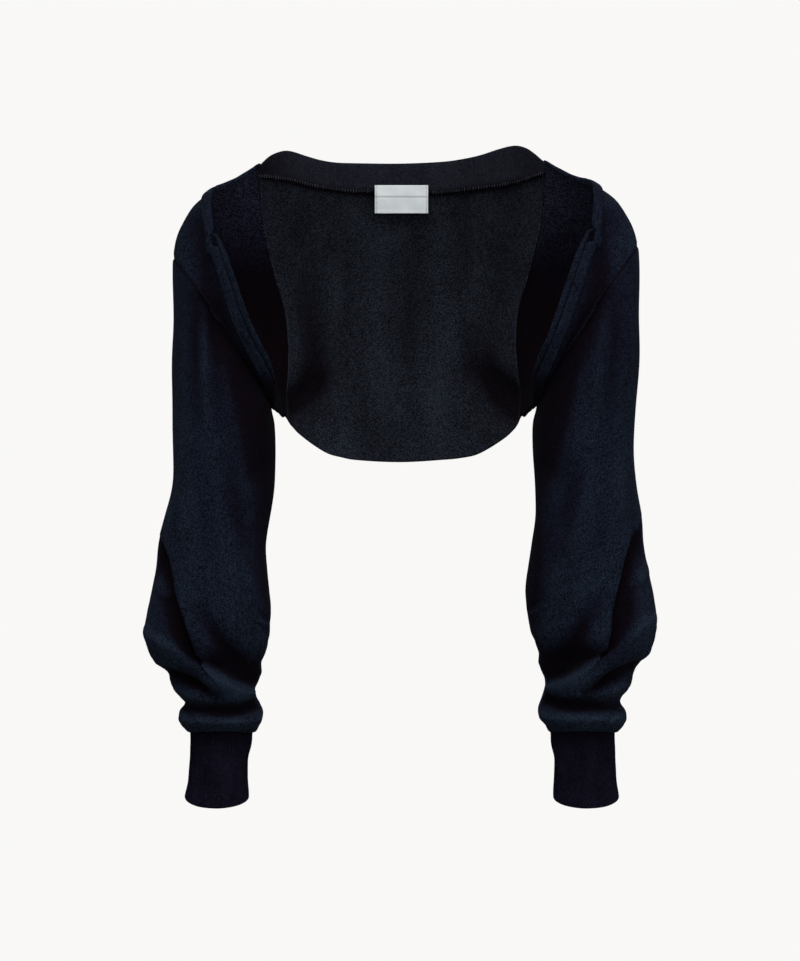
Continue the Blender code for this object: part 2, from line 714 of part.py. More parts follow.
def fold_relief(face, share, height, width):
    """How far the folds move the cloth out at a share of the width and a height."""
    total = 0.0
    for on, start, middle, end, relief, left, right in SLEEVE_FOLDS:
        if on != face:
            continue
        best = None
        points = fold_curve(start, middle, end)
        for (a, ta), (b, tb) in zip(points, points[1:]):
            a = np.array((a[0] * width, a[1]))
            b = np.array((b[0] * width, b[1]))
            here = np.array((share * width, height))
            run = b - a
            along = min(max(np.dot(here - a, run) / max(np.dot(run, run), 1e-9), 0.0), 1.0)
            off = here - (a + run * along)
            distance = np.linalg.norm(off)
            if best is None or distance < best[0]:
                turn = run[0] * off[1] - run[1] * off[0]
                best = (distance, turn, ta + (tb - ta) * along)
        distance, turn, along = best
        reach = left if turn > 0 else right
        ends = min(along / FOLD_FADE, (1 - along) / FOLD_FADE, 1.0)
        kept = FOLD_END_RELIEF + (1 - FOLD_END_RELIEF) * ends * ends * (3 - 2 * ends)
        total += relief * bell(distance / reach) * kept
    return total


def section_values(place, sign):
    """Height, middle across, half width, half depth and depth of a sleeve section."""
    height, *limits, half_depth, depth = smooth_rows(SLEEVE_SECTIONS, place)
    outer, inner = limits[:2] if sign < 0 else limits[2:]
    return height, (outer + inner) / 2, (outer - inner) / 2, half_depth, depth


def sleeve_ring(place, angle, sign):
    """A point of a level sleeve section and its outward direction."""
    height, middle, half_width, half_depth, depth = section_values(place, sign)
    rise = SLEEVE_HEM_RISE * math.sin(angle)**2 * bell((1 - place) / SLEEVE_RISE_FADE)
    point = np.array((middle + half_width * math.cos(angle),
                      depth - half_depth * math.sin(angle), height + rise))
    outward = unit(np.array((math.cos(angle) / half_width, -math.sin(angle) / half_depth, 0.0)))
    return point, outward


def build_sleeve(side, sign, collection):
    """Sleeve, from the armhole seam to the cuff, with its folds."""
    angles = [2 * math.pi * c / SLEEVE_COLUMNS for c in range(SLEEVE_COLUMNS)]
    rings = []
    for r in range(SLEEVE_TOP_ROWS):
        share = r / SLEEVE_TOP_ROWS
        ring = []
        for angle in angles:
            hole, hole_out = armhole_point(angle, sign)
            level, level_out = sleeve_ring(0.0, angle, sign)
            out = unit(hole_out * (1 - share) + level_out * share)
            bulge = (SLEEVE_TOP_BULGE[0 if sign < 0 else 1] * 4 * share * (1 - share)
                     * max(math.cos(angle), 0.0))
            ring.append((hole + (level - hole) * share + level_out * bulge, out))
        rings.append(ring)
    steps = len(SLEEVE_SECTIONS) - 1
    for r in range(steps + 1):
        rings.append([sleeve_ring(r / steps, angle, sign) for angle in angles])
    outer = np.array([[point for point, _ in ring] for ring in rings])
    outward = np.array([[way for _, way in ring] for ring in rings])
    pulled_back(outer, 0, 1, SEAM_GAP / 2)
    for r in range(1, len(rings) - 1):
        width = outer[r, :, 0].max() - outer[r, :, 0].min()
        for c, angle in enumerate(angles):
            face = FRONT if math.sin(angle) > 0 else BACK
            side_fade = min(abs(math.sin(angle)) * SIDE_GROWTH, 1.0)
            end_fade = min(r / END_ROWS, (len(rings) - 1 - r) / END_ROWS, 1.0)
            move = fold_relief(face, (1 + math.cos(angle)) / 2, outer[r, c, 2], width)
            outer[r, c] += outward[r, c] * move * side_fade * end_fade
    inner = outer - outward * CLOTH_WALL
    add_wall(f"sleeve_{side}", to_side(outer, sign), to_side(inner, sign), True,
             FLEECE, collection)


def build_cuff(side, sign, collection):
    """Rib cuff, its ribs raised over a plain inside."""
    columns = 2 * CUFF_RIBS
    outer = np.zeros((CUFF_ROWS, columns, 3))
    inner = np.zeros((CUFF_ROWS, columns, 3))
    for r in range(CUFF_ROWS):
        height, *sides, half_depth, depth, droop = smooth_rows(CUFF_SECTIONS, r / (CUFF_ROWS - 1))
        middle, half_width = sides[:2] if sign < 0 else sides[2:]
        for c in range(columns):
            angle = 2 * math.pi * c / columns
            way = np.array((math.cos(angle), -math.sin(angle), 0.0))
            rib = RIB_RELIEF if c % 2 == 0 else 0.0
            drop = -droop * math.sin(angle)
            rise = SLEEVE_HEM_RISE * math.sin(angle)**2 * bell(r / CUFF_RISE_FADE)
            centre = np.array((middle, depth, height + drop + rise))
            reach = np.array((half_width, half_depth, 0.0))
            outer[r, c] = centre + way * (reach - RIB_RELIEF + rib)
            inner[r, c] = centre + way * (reach - RIB_WALL)
    add_wall(f"cuff_{side}", to_side(outer, sign), to_side(inner, sign), True, RIB, collection)


def main():
    """Build every piece of the shrug."""
    for old in list(bpy.data.objects):
        bpy.data.objects.remove(old, do_unlink=True)
    collection = bpy.data.collections.new("shrug")
    bpy.context.scene.collection.children.link(collection)
    build_back(collection)
    build_neckband(collection)
    build_label(collection)
    for side, sign in SIDES:
        build_shoulder(side, sign, collection)
        build_front_band(side, sign, collection)
        build_turning(side, sign, collection)
        build_sleeve(side, sign, collection)
        build_cuff(side, sign, collection)


main()
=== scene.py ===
"""The look of a cropped knitted shrug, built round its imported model.

Each cloth piece is a wall between an outer and an inner grid of points. The grids follow the
garment's own edge curves, and folds, seams and ribs are raised on them. The wearer faces -Y, so
the wearer's left side is +X. "across" is the distance from the middle of the garment, "depth"
runs to the back (+Y) and "height" is measured from the level where the shoulders carry the
cloth. Sizes are millimetres until a mesh is made.
"""

from __future__ import annotations

import logging
import math
from abc import ABC, abstractmethod
from collections.abc import Callable
from dataclasses import dataclass, field
from enum import Enum
from functools import partial

import bpy
import numpy as np
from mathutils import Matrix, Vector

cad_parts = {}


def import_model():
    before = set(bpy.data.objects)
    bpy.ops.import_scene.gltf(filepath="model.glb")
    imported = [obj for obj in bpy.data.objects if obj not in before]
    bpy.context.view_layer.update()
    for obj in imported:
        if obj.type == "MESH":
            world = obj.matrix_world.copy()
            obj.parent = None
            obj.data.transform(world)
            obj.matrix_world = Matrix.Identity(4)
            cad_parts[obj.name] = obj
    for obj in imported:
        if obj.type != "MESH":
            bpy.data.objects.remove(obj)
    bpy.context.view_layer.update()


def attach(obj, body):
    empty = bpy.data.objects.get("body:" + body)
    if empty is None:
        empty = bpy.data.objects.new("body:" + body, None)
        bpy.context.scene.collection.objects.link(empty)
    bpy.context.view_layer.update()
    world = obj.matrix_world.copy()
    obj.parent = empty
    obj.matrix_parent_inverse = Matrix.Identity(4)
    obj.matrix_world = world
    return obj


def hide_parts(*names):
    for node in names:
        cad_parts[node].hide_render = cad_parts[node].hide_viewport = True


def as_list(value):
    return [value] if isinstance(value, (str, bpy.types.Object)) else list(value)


LOG = logging.getLogger("shrug")
Array = np.ndarray
Pair = tuple[float, float]
Triple = tuple[float, float, float]
Colour = tuple[float, float, float]
Material = bpy.types.Material
Thing = bpy.types.Object
Socket = bpy.types.NodeSocket
MM = 0.001
TURN = 2 * math.pi
BODY = "root"

# ---- sizes of the cut

CLOTH_WALL = 2.0
RIB_WALL = 2.2
SEAM_GAP = 0.3
SEAM_LAP = 1.3
ARMHOLE_REACH = 1.1
ARMHOLE_LAP = 2.2
SEAM_DIP = 1.5
SEAM_DIP_REACH = 2.6
SEAM_HOLD = 3.0
SEAM_FREE = 0.4
SEAM_SHADE = 1.3
EDGE_NARROWING = 0.5

# Free edge of a shoulder piece, from the neckband over the shoulder, down the front and under
# the arm to the lower corner of the back
# angle, across, depth, height, bulge, left_across, left_height
FREE_EDGE = (
    (-14, 141.7, 28, 24, 15, 1, 3),
    (-11, 152, 21, 16.5, 17, 0.5, 4),
    (-7, 164, 14, 9.5, 19, 0, 5),
    (-3, 176.5, 6, 4, 20, -0.5, 6),
    (2, 187.5, -5, -0.5, 20, 0.5, 7.5),
    (12, 190, -22, -8, 15, 1, 7),
    (24, 189, -38, -21, 7, 1.5, 6),
    (37, 185, -53, -44, 0, 2, 5),
    (50, 178, -62, -65, -5, 1.5, 4),
    (66, 169.5, -68, -90, -6, 1, 3),
    (86, 159, -69, -122, -5, 0.5, 2),
    (105, 147.5, -64, -149, -4, 2, 2),
    (126, 136, -53, -171, -3, 4, 2),
    (146, 127.5, -38, -191, -2, 5, 2),
    (163, 126, -17, -208, -1, 5.5, 2),
    (177, 125.5, 8, -217, 0, 5.5, 2),
    (187, 124, 36, -222.5, 1, 5, 2),
    (194, 121, 60, -226.5, 2, 4.5, 1),
    (200, 117.5, 80, -232, 3, 4, 0.5),
)

# Seam between the back and a shoulder piece, from the neckband down to the hem, same columns
BACK_SEAM = (
    (-14, 141.7, 28, 24, 15, 1, 3),
    (-20, 142, 40, -4, 16, 0.5, 2),
    (-28, 139.5, 57, -38, 16, 0, 1),
    (-38, 133.5, 69, -65, 15, 0, 0),
    (-55, 127, 79, -92, 14, 0, 0),
    (-79, 118, 86, -125, 12, 0, 0),
    (-103, 115.3, 90, -159, 9, 1, 0),
    (-128, 116, 90, -186, 6, 3, 0),
    (-146, 118.5, 87, -210, 4, 4, 0),
    (-160, 117.5, 80, -232, 3, 4, 0.5),
)
BACK_TOP_AT = 0.028
SEAM_STEP = 0.02

# Armhole: across and height of its top and its bottom, for the right and the left side
ARMHOLE_TOP = ((227.5, -69.0), (236.0, -57.0))
ARMHOLE_BOTTOM = ((135.0, -205.0), (141.5, -202.5))
ARMHOLE_FRONT = 64.0
ARMHOLE_BACK = 61.0
ARMHOLE_BOW = 7.0
ARMHOLE_SLOPE_KEPT = 0.25

# Middle of the back: share of the way down, depth
BACK_MIDDLE = ((0.00, 82.8), (0.12, 92), (0.28, 102), (0.46, 108), (0.66, 110), (0.84, 107),
               (1.00, 101))
BACK_SQUARENESS = 2.2
BACK_COLUMN = 1 / 9

# Hem of the back, from the right corner to the left: across, depth, height
HEM = (
    (-117.5, 80, -232),
    (-111, 84.5, -240),
    (-104, 88, -248.5),
    (-90, 93, -260.5),
    (-76, 96.5, -269),
    (-62, 98.5, -273),
    (-45, 100, -276),
    (0, 101, -278),
    (45, 100, -275.5),
    (62, 98.5, -273.5),
    (76, 96.5, -270.5),
    (90, 93, -263.5),
    (104, 88, -253.5),
    (113, 84.5, -244.5),
    (121.5, 80, -231.5),
)
# Curl of the lower corners: place across, relief to the front, reach across and up from the hem
HEM_CURL = ((0.89, 3.5, 0.11, 0.17), (0.70, -3.5, 0.13, 0.16))
CURL_FADE = 0.10

# Neckband: across, depth of its inside, height of its top and of its serged lower edge
NECKBAND = (
    (-141.5, 25.5, 25, 12.5),
    (-133.5, 32, 32.5, 12),
    (-126, 38, 36.5, 10.5),
    (-117, 44.5, 38.5, 8.5),
    (-108, 51, 37, 6.5),
    (-96, 57, 33, 3.5),
    (-82, 64, 29, 1),
    (-66, 69, 26.5, -1.5),
    (-42, 74.5, 25.7, -4),
    (0, 78, 25.4, -5),
    (42, 74.5, 27.3, -4),
    (66, 69, 30.8, -2),
    (82, 64, 34.6, 0),
    (96, 57, 39.3, 2),
    (108, 51, 42.6, 4.5),
    (117, 44.5, 43.5, 6.5),
    (126, 38, 41, 9.5),
    (134, 32, 35.5, 12.5),
    (142.5, 24.8, 28, 15.2),
)
NECK_ALLOWANCE = 6.0
NECKBAND_THICK = 3.4
NECK_FLANGE_THICK = 1.8
NECK_CLEAR = 1.3
NECK_DROP = 1.2
NECK_LEAN = 3.0
NECK_ROUND = 1.3
NECK_LAP = 0.9

# Sleeve below the armhole: height, outer and inner limits across for the right and the left
# sleeve, half depth, depth of its middle
SLEEVE_SECTIONS = (
    (-232, 228.8, 126, 232.6, 129.6, 62, 0),
    (-258, 228.2, 123.9, 231.2, 129, 61, -1),
    (-290, 229.4, 126.7, 235.5, 134.1, 60, -3),
    (-322, 236.3, 131.6, 239.9, 135, 60, -6),
    (-352, 241.6, 134.4, 240.8, 129.7, 60, -9),
    (-376, 244.5, 133.3, 245.2, 125.9, 61, -11),
    (-398, 249, 131.9, 250.5, 123.6, 61, -13),
    (-418, 252.8, 130.3, 253.3, 125.2, 60, -15),
    (-436, 255.7, 131.1, 253.5, 127.9, 59, -17),
    (-450, 255.2, 132.5, 251.5, 132.5, 57, -18),
    (-462, 251.6, 136.4, 247.8, 137.2, 54, -18),
    (-472, 246, 140.3, 237.5, 137, 51, -19),
    (-481, 233.8, 140.3, 232.4, 141, 48, -19),
    (-489, 231.5, 143.4, 230.5, 144, 46, -20),
    (-497, 228.2, 146.4, 227.3, 143.7, 44, -20),
    (-505, 221.2, 145.3, 219.8, 140.3, 41, -21),
    (-512, 215.8, 141.4, 218.9, 137.2, 40, -21),
    (-519, 221.8, 138.4, 224.2, 136.3, 42, -22),
    (-527, 223, 138.1, 225.2, 137.1, 42, -22),
    (-534, 220.2, 140.2, 222.4, 142.2, 39, -22),
    (-539.5, 214.5, 144.5, 217, 146.5, 34, -23),
    (-541, 211.3, 148.2, 213.3, 148.2, 28, -23),
)
SLEEVE_HEM_RISE = 4.0
SLEEVE_RISE_FADE = 0.12
SLEEVE_TOP_BULGE = (0.6, 3.2)

# Cuff: height, middle across and half width for the right and the left cuff, half depth, depth
# of its middle, and how much lower its front hangs than its back
CUFF_SECTIONS = (
    (-541.5, 179.9, 31.2, 180.9, 32.2, 28, -23, 0),
    (-552, 180.4, 30.3, 181.3, 31.5, 26.5, -23.5, 0.5),
    (-566, 181.9, 29.1, 182.7, 30.5, 25, -24, 1.5),
    (-589, 183.7, 30.4, 183.9, 31.8, 25.5, -25, 4.5),
    (-605.5, 184.6, 32, 184.5, 32.8, 27, -26, 7.5),
)
CUFF_RISE_FADE = 0.3

# Depth of a fold at its darkest painted shade, how light the painted highlight on a crest gets;
# where painted shade darkens the cloth under the arm
SHADE_DEPTH = 8.0
PAINTED_CREST_HIGHLIGHT = 0.9
UNDERARM_TOP = -168.0
UNDERARM_FADE = 34.0
UNDERARM_BACK = 72.0
UNDERARM_DARK = 0.95
# Painted shade on a sleeve's inner side: height, how far across it reaches, how dark it is
INNER_SIDE = (
    (-470, 128, 0),
    (-440, 136, 0.4),
    (-400, 142, 0.85),
    (-360, 143, 0.85),
    (-320, 144, 0.9),
    (-280, 146, 0.95),
    (-240, 151, 1),
    (-200, 159, 1),
    (-160, 168, 0.7),
    (-120, 178, 0),
)
INNER_SIDE_FADE = 24.0

BAND_WIDTH = 10.5
BAND_OVERHANG = 1.0
BAND_SEAT = 0.6
TURNING_WIDTH = 6.6
TURNING_THICK = 2.6
TURNING_SEAT = 0.6
TURNING_OVERHANG = 1.5
# First and last place of the turning along the free edge, and what it widens and narrows over
TURNING_REACH = (0.1515, 0.7273)
TURNING_GROWS = 0.09
TURNING_END = 0.18
TURNING_TIP = 0.25
TURNING_TUCK = 7.5
GAPE_AT = 0.398
GAPE_LENGTH = 0.019
GAPE_DEPTH = 6.6
# Places between which the turning comes out from under the band
TURNING_SHOWS = (0.372, 0.40)
# Section of the band: share of its width from the edge, height above its seat
BAND_PROFILE = ((0.02, -1.2), (-0.03, 0.5), (0.03, 1.6), (0.20, 2.15), (0.50, 2.3),
                (0.78, 2.15), (0.92, 1.85), (1.0, 1.0), (0.99, -1.2))
# Section of the turning: share of its width beyond the edge, height in thicknesses
TURNING_PROFILE = ((-0.16, -0.5), (-0.16, -0.12), (0.0, 0.2), (0.20, 0.48), (0.52, 0.55),
                   (0.82, 0.40), (1.0, 0.0), (0.90, -0.42), (0.5, -0.55))

LABEL_WIDTH = 54.0
LABEL_TOP = 3.5
LABEL_BOTTOM = -25.0
LABEL_THICK = 0.7
LABEL_SEAT = 0.5
LABEL_EASE = 15.0
LABEL_STEP_AT = -8.5
HALVINGS = 24

# Sizes of what varies in the knit, in metres: the yarn's irregular specks, brushed fibres, small
# and broad patches of tone, and the places where lint clings
GRAIN_SIZE = 0.00085
FIBRE_SIZE = 0.0006
HEATHER_SIZE = 0.0026
CLOUD_SIZE = 0.026
LINT_PATCH = 0.011
# Scale that lengthens patches as the cloth hangs and fibres as they lie
HANGING = (1.0, 1.0, 0.4)
LYING = (1.0, 0.22, 1.0)
# Turns of the layers of brushed fibre
BRUSH_TURNS = ((0.0, 0.0, 0.0), (0.9, 0.3, 0.7), (0.4, 1.1, 1.9), (1.5, 0.6, 2.6))


# ---- curves and small helpers

def unit(vectors: Array) -> Array:
    """The same directions with length 1."""
    return vectors / np.maximum(np.linalg.norm(vectors, axis=-1, keepdims=True), 1e-9)


def bell(x: Array) -> Array:
    """A smooth bump, 1 at 0 and nearly 0 past 2."""
    return np.exp(-np.square(x))


def ease(x: Array) -> Array:
    """A smooth step from 0 at 0 to 1 at 1."""
    x = np.clip(x, 0.0, 1.0)
    return x * x * (3 - 2 * x)


def bump(x: Array, place: float, reach: float, height: float = 1.0) -> Array:
    """A smooth bump of some height round a place."""
    return height * bell((x - place) / reach)


def ramp(x: Array, start: float, length: float) -> Array:
    """A smooth step from 0 at a start to 1 a length further."""
    return ease((x - start) / length)


def read_rows(rows: tuple, places: Array) -> Array:
    """Read a table smoothly between its rows.

    Args:
        rows: the table, a tuple of equal rows of numbers.
        places: where to read, from 0 at the first row to 1 at the last.

    Returns:
        The places' shape with one more axis, the table's columns.
    """
    table = np.array(rows, float)
    last = len(table) - 1
    at = np.clip(np.asarray(places, float), 0.0, 1.0) * last
    k = np.minimum(at.astype(int), last - 1)
    f = (at - k)[..., None]
    table = np.vstack((2 * table[0] - table[1], table, 2 * table[-1] - table[-2]))
    a, b, c, d = (table[k + i] for i in range(4))
    return 0.5 * (2 * b + (c - a) * f + (2 * a - 5 * b + 4 * c - d) * f**2
                  + (3 * b - a - 3 * c + d) * f**3)


def read_at(rows: tuple, keys: Array) -> Array:
    """Read a table at values of its first column.

    Args:
        rows: the table, sorted by its first column.
        keys: the values to read it at.

    Returns:
        The keys' shape with one more axis, the table's columns.
    """
    firsts = np.array([row[0] for row in rows], float)
    keys = np.asarray(keys, float)
    k = np.clip(np.searchsorted(firsts, keys) - 1, 0, len(firsts) - 2)
    f = (keys - firsts[k]) / (firsts[k + 1] - firsts[k])
    return read_rows(rows, (k + f) / (len(firsts) - 1))


def together(*parts: Array) -> Array:
    """Coordinates joined into points, each spread over the shape of all."""
    return np.stack(np.broadcast_arrays(*parts), axis=-1)


def walked(line: Array) -> Array:
    """Distances walked along the first axis of a grid, from 0."""
    steps = np.linalg.norm(np.diff(line, axis=0), axis=-1)
    return np.concatenate((np.zeros((1, *steps.shape[1:])), np.cumsum(steps, axis=0)))


def grid_normals(grid: Array, closed: bool, plus: tuple[int, int, int]) -> Array:
    """Unit normals of a grid of points.

    Args:
        grid: rows, columns, xyz.
        closed: whether the last column is joined to the first.
        plus: the row, column and axis of a part of a normal that has to be positive.

    Returns:
        One normal for each point.
    """
    if closed:
        along = np.roll(grid, -1, axis=1) - np.roll(grid, 1, axis=1)
    else:
        along = np.gradient(grid, axis=1)
    normals = unit(np.cross(along, np.gradient(grid, axis=0)))
    return normals if normals[plus] >= 0 else -normals


@dataclass(frozen=True)
class Ripples:
    """Smooth, uneven relief made of a few plane waves.

    Attributes:
        seed: chooses the waves.
        wavelength: their usual length.
        height: how far they stand out.
        stretch: how much longer they are along x, y and z.
    """

    seed: int
    wavelength: float
    height: float
    stretch: Triple = (1.0, 1.0, 1.0)
    waves: int = 9

    def at(self, points: Array) -> Array:
        """The relief at each point.

        Args:
            points: any shape, with xyz last.

        Returns:
            The relief of each.
        """
        draw = np.random.default_rng(self.seed)
        total = np.zeros(points.shape[:-1])
        for _ in range(self.waves):
            way = unit(draw.normal(size=3)) / np.array(self.stretch)
            length = self.wavelength * draw.uniform(0.7, 1.5)
            total += np.sin(points @ way * (TURN / length) + draw.uniform(0, TURN))
        return self.height * total / math.sqrt(self.waves / 2)


@dataclass(frozen=True)
class Fold:
    """A crease or roll of the cloth along a curve.

    Attributes:
        route: places (across, height) that the curve passes.
        relief: how far it stands out (+) or lies in (-) at its start, middle and end.
        left: its width to the left as it is followed.
        right: its width to the right.
        widen: how many times as wide it is at its end.
        lip: how far the cloth on its right hangs over to the left, or with a minus sign the
            cloth on its left to the right.
    """

    route: tuple[Pair, ...]
    relief: Triple
    left: float
    right: float
    widen: float = 1.0
    lip: float = 0.0
    samples: int = 40
    lip_reach: float = 9.0
    lip_edge: float = 1.6

    def at(self, across: Array, height: Array) -> tuple[Array, Array]:
        """The fold's effect on each point.

        Args:
            across: the points' distances across.
            height: their heights.

        Returns:
            The relief of each point, and how far it hangs over (across, height).
        """
        here = np.stack((across, height), axis=-1).reshape(-1, 2)
        line = read_rows(self.route, np.linspace(0, 1, self.samples))
        run = np.diff(line, axis=0)
        off = here[:, None, :] - line[None, :-1]
        along = np.clip((off * run).sum(-1) / (run**2).sum(-1), 0, 1)
        away = off - along[..., None] * run
        distance = np.linalg.norm(away, axis=-1)
        best = distance.argmin(axis=1)
        pick = (np.arange(len(here)), best)
        distance, away, along = distance[pick], away[pick], along[pick]
        run = run[best]
        turn = run[:, 0] * away[:, 1] - run[:, 1] * away[:, 0]
        place = (best + along) / (self.samples - 1)
        strength = read_rows(tuple((r,) for r in self.relief), place)[:, 0]
        wide = 1 + (self.widen - 1) * place
        reach = np.where(turn > 0, self.left, self.right) * wide
        relief = strength * bell(distance / reach)
        free = turn > 0 if self.lip < 0 else turn <= 0
        over = bell(distance / np.where(free, self.lip_reach, self.lip_edge))
        share = np.abs(strength) / max(np.abs(self.relief).max(), 1e-6)
        to_left = unit(np.stack((-run[:, 1], run[:, 0]), axis=-1))
        hang = to_left * (self.lip * share * over)[:, None]
        return relief.reshape(across.shape), hang.reshape(*across.shape, 2)


# ---- the garment's own surfaces

@dataclass(frozen=True)
class Side:
    """One side of the garment, with its points as across, depth and height.

    Attributes:
        name: right or left, as the wearer's.
        sign: the sign of X there.
    """

    name: str
    sign: int

    @property
    def column(self) -> int:
        """Which entry of a right and left pair this side takes."""
        return 0 if self.sign < 0 else 1

    def placed(self, grid: Array) -> Array:
        """Turn across, depth, height into x, y, z."""
        return grid * np.array((self.sign, 1.0, 1.0))

    def edge(self, table: tuple, places: Array) -> tuple[Array, Array, Array]:
        """Places on an edge curve.

        Args:
            table: the edge's table.
            places: from 0 at its first row to 1 at its last.

        Returns:
            The points, their angles round the armhole, and the bulge of the cloth there.
        """
        rows = read_rows(table, places)
        points = rows[..., 1:4].copy()
        if self.sign > 0:
            points[..., 0] += rows[..., 5]
            points[..., 2] += rows[..., 6]
        return points, np.radians(rows[..., 0]), rows[..., 4]

    def armhole(self, angles: Array) -> tuple[Array, Array]:
        """Places on the armhole seam.

        Args:
            angles: 0 at the top, a quarter turn in front.

        Returns:
            The points and the outward directions there.
        """
        top, bottom = (np.array((end[self.column][0], 0.0, end[self.column][1]))
                       for end in (ARMHOLE_TOP, ARMHOLE_BOTTOM))
        axis = unit(top - bottom)
        half = np.linalg.norm(top - bottom) / 2
        bow = np.array((-axis[2], 0.0, axis[0]))
        cos, sin = np.cos(angles)[..., None], np.sin(angles)[..., None]
        reach = np.where(sin > 0, ARMHOLE_FRONT, ARMHOLE_BACK)
        ahead = np.array((0.0, -1.0, 0.0))
        points = (top + bottom) / 2 + axis * half * cos + ahead * reach * sin
        outward = unit(axis * cos / half + ahead * sin / reach)
        return points + bow * ARMHOLE_BOW * sin**2, outward

    def shoulder(self, table: tuple, places: Array, shares: Array) -> Array:
        """Points of the shoulder piece.

        Args:
            table: the edge that the places are on.
            places: places along that edge.
            shares: 0 on the edge and 1 on the armhole seam.

        Returns:
            A point for each place and share.
        """
        places, shares = np.broadcast_arrays(places, shares)
        edge, angle, bulge = self.edge(table, places)
        hole, outward = self.armhole(angle)
        span = hole - edge
        level = (outward * span).sum(-1) / np.maximum((span**2).sum(-1), 1e-9)
        lift = unit(outward - span * level[..., None])
        middle = (edge + hole) / 2 + lift * bulge[..., None]
        s = shares[..., None]
        return (1 - s)**2 * edge + 2 * s * (1 - s) * middle + s**2 * hole

    def share_for(self, table: tuple, places: Array, distance: Array) -> Array:
        """The shares at which the cloth is given distances in from its edge.

        Args:
            table: the edge's table.
            places: places along it.
            distance: how far in, at all or each of them.

        Returns:
            A share for each place.
        """
        shares = np.linspace(0, 0.9, 91)
        lengths = walked(self.shoulder(table, places[None], shares[:, None]))
        distance = np.broadcast_to(distance, places.shape)
        return np.array([np.interp(d, lengths[:, i], shares) for i, d in enumerate(distance)])

    def gape(self, places: Array) -> Array:
        """How far the free edge is drawn back where the band gapes."""
        return GAPE_DEPTH * bell(np.square((places - GAPE_AT) / GAPE_LENGTH))

    def seam_normals(self, places: Array) -> Array:
        """Directions out of the cloth on the back seam, midway between both pieces' own.

        Args:
            places: places down the seam.

        Returns:
            A unit vector for each.
        """
        low, high = np.maximum(places - SEAM_STEP, BACK_TOP_AT), np.minimum(places + SEAM_STEP, 1)
        down = self.shoulder(BACK_SEAM, high, 0.0) - self.shoulder(BACK_SEAM, low, 0.0)
        beside = self.share_for(BACK_SEAM, places, BAND_WIDTH)
        edge = self.shoulder(BACK_SEAM, places, 0.0)
        into_shoulder = unit(self.shoulder(BACK_SEAM, places, beside) - edge)
        whole = np.full(places.shape, float(self.sign))
        inner = back_points(whole * (1 - BACK_COLUMN), places)
        into_back = self.placed(unit(inner - back_points(whole, places)))
        normals = unit(np.cross(down, into_shoulder - into_back))
        return normals * np.where(normals[..., 1:2] > 0, 1.0, -1.0)

    def sleeve_rings(self, places: Array, angles: Array) -> tuple[Array, Array]:
        """Level sections of the sleeve.

        Args:
            places: from 0 at the first section to 1 at the last, one for each row.
            angles: round the sleeve, one for each column.

        Returns:
            The points and the outward directions.
        """
        rows = read_rows(SLEEVE_SECTIONS, places)[:, None, :]
        limits = rows[..., 1:3] if self.sign < 0 else rows[..., 3:5]
        middle, half = limits.mean(-1), (limits[..., 0] - limits[..., 1]) / 2
        cos, sin = np.cos(angles)[None], np.sin(angles)[None]
        rise = SLEEVE_HEM_RISE * sin**2 * bell((1 - places[:, None]) / SLEEVE_RISE_FADE)
        points = together(middle + half * cos, rows[..., 6] - rows[..., 5] * sin,
                          rows[..., 0] + rise)
        return points, unit(together(cos / half, -sin / rows[..., 5], 0))


SIDES = (Side("right", -1), Side("left", 1))


def neck_run(across: Array) -> Array:
    """Level direction of the neckband at places across."""
    step = read_at(NECKBAND, across + 1.0) - read_at(NECKBAND, across - 1.0)
    return unit(together(step[..., 0], step[..., 1], 0))


def neck_seam(across: Array) -> Array:
    """Outer points of the top of the back, behind the neckband's allowance.

    Args:
        across: where they are.

    Returns:
        A point for each.
    """
    rows = read_at(NECKBAND, across)
    behind = NECK_FLANGE_THICK + NECK_CLEAR + CLOTH_WALL
    depth = rows[..., 1] + behind / neck_run(across)[..., 0]
    return together(across, depth, rows[..., 3] + NECK_ALLOWANCE - NECK_DROP)


def spanned(curve: Callable[[Array], Array], ends: list[Array], share: Array) -> Array:
    """How far a curve across the back stands off the straight line between two corners.

    Args:
        curve: gives a point for each place across.
        ends: the two corners.
        share: the way from the first to the second.

    Returns:
        The offsets, with what the curve misses the corners by taken out evenly.
    """
    share = np.asarray(share, float)[..., None]
    chord = ends[0] + (ends[1] - ends[0]) * share
    missed = [curve(end[..., 0]) - end for end in ends]
    return curve(chord[..., 0]) - chord - missed[0] * (1 - share) - missed[1] * share


def back_points(across: Array, places: Array) -> Array:
    """Points of the back's outside.

    Args:
        across: from -1 at the right seam to 1 at the left.
        places: places down the back seam.

    Returns:
        A point (x, y, z) for each pair.
    """
    across, places = np.broadcast_arrays(across, places)
    down = (places - BACK_TOP_AT) / (1 - BACK_TOP_AT)
    share = (across + 1) / 2
    sides, top_ends, hem_ends = (
        [side.placed(side.edge(BACK_SEAM, at)[0]) for side in SIDES]
        for at in (places, np.array(BACK_TOP_AT), np.array(1.0)))
    hem = partial(read_at, HEM)
    top_share, hem_share = ((1 - down)**2)[..., None], down[..., None]
    points = (sides[0] + (sides[1] - sides[0]) * share[..., None]
              + spanned(neck_seam, top_ends, share) * top_share
              + spanned(hem, hem_ends, share) * hem_share)
    middle = ((sides[0] + sides[1]) / 2 + spanned(neck_seam, top_ends, 0.5) * top_share
              + spanned(hem, hem_ends, 0.5) * hem_share)
    fullness = read_at(BACK_MIDDLE, down)[..., 1] - middle[..., 1]
    points[..., 1] += fullness * (1 - np.abs(across)**BACK_SQUARENESS)
    fade = np.minimum((1 - np.abs(across)) / CURL_FADE, 1.0)
    for centre, relief, width, reach in HEM_CURL:
        curl = bell((np.abs(across) - centre) / width) * bell((1 - down) / reach)
        points[..., 1] -= relief * curl * fade
    return points


# ---- meshes

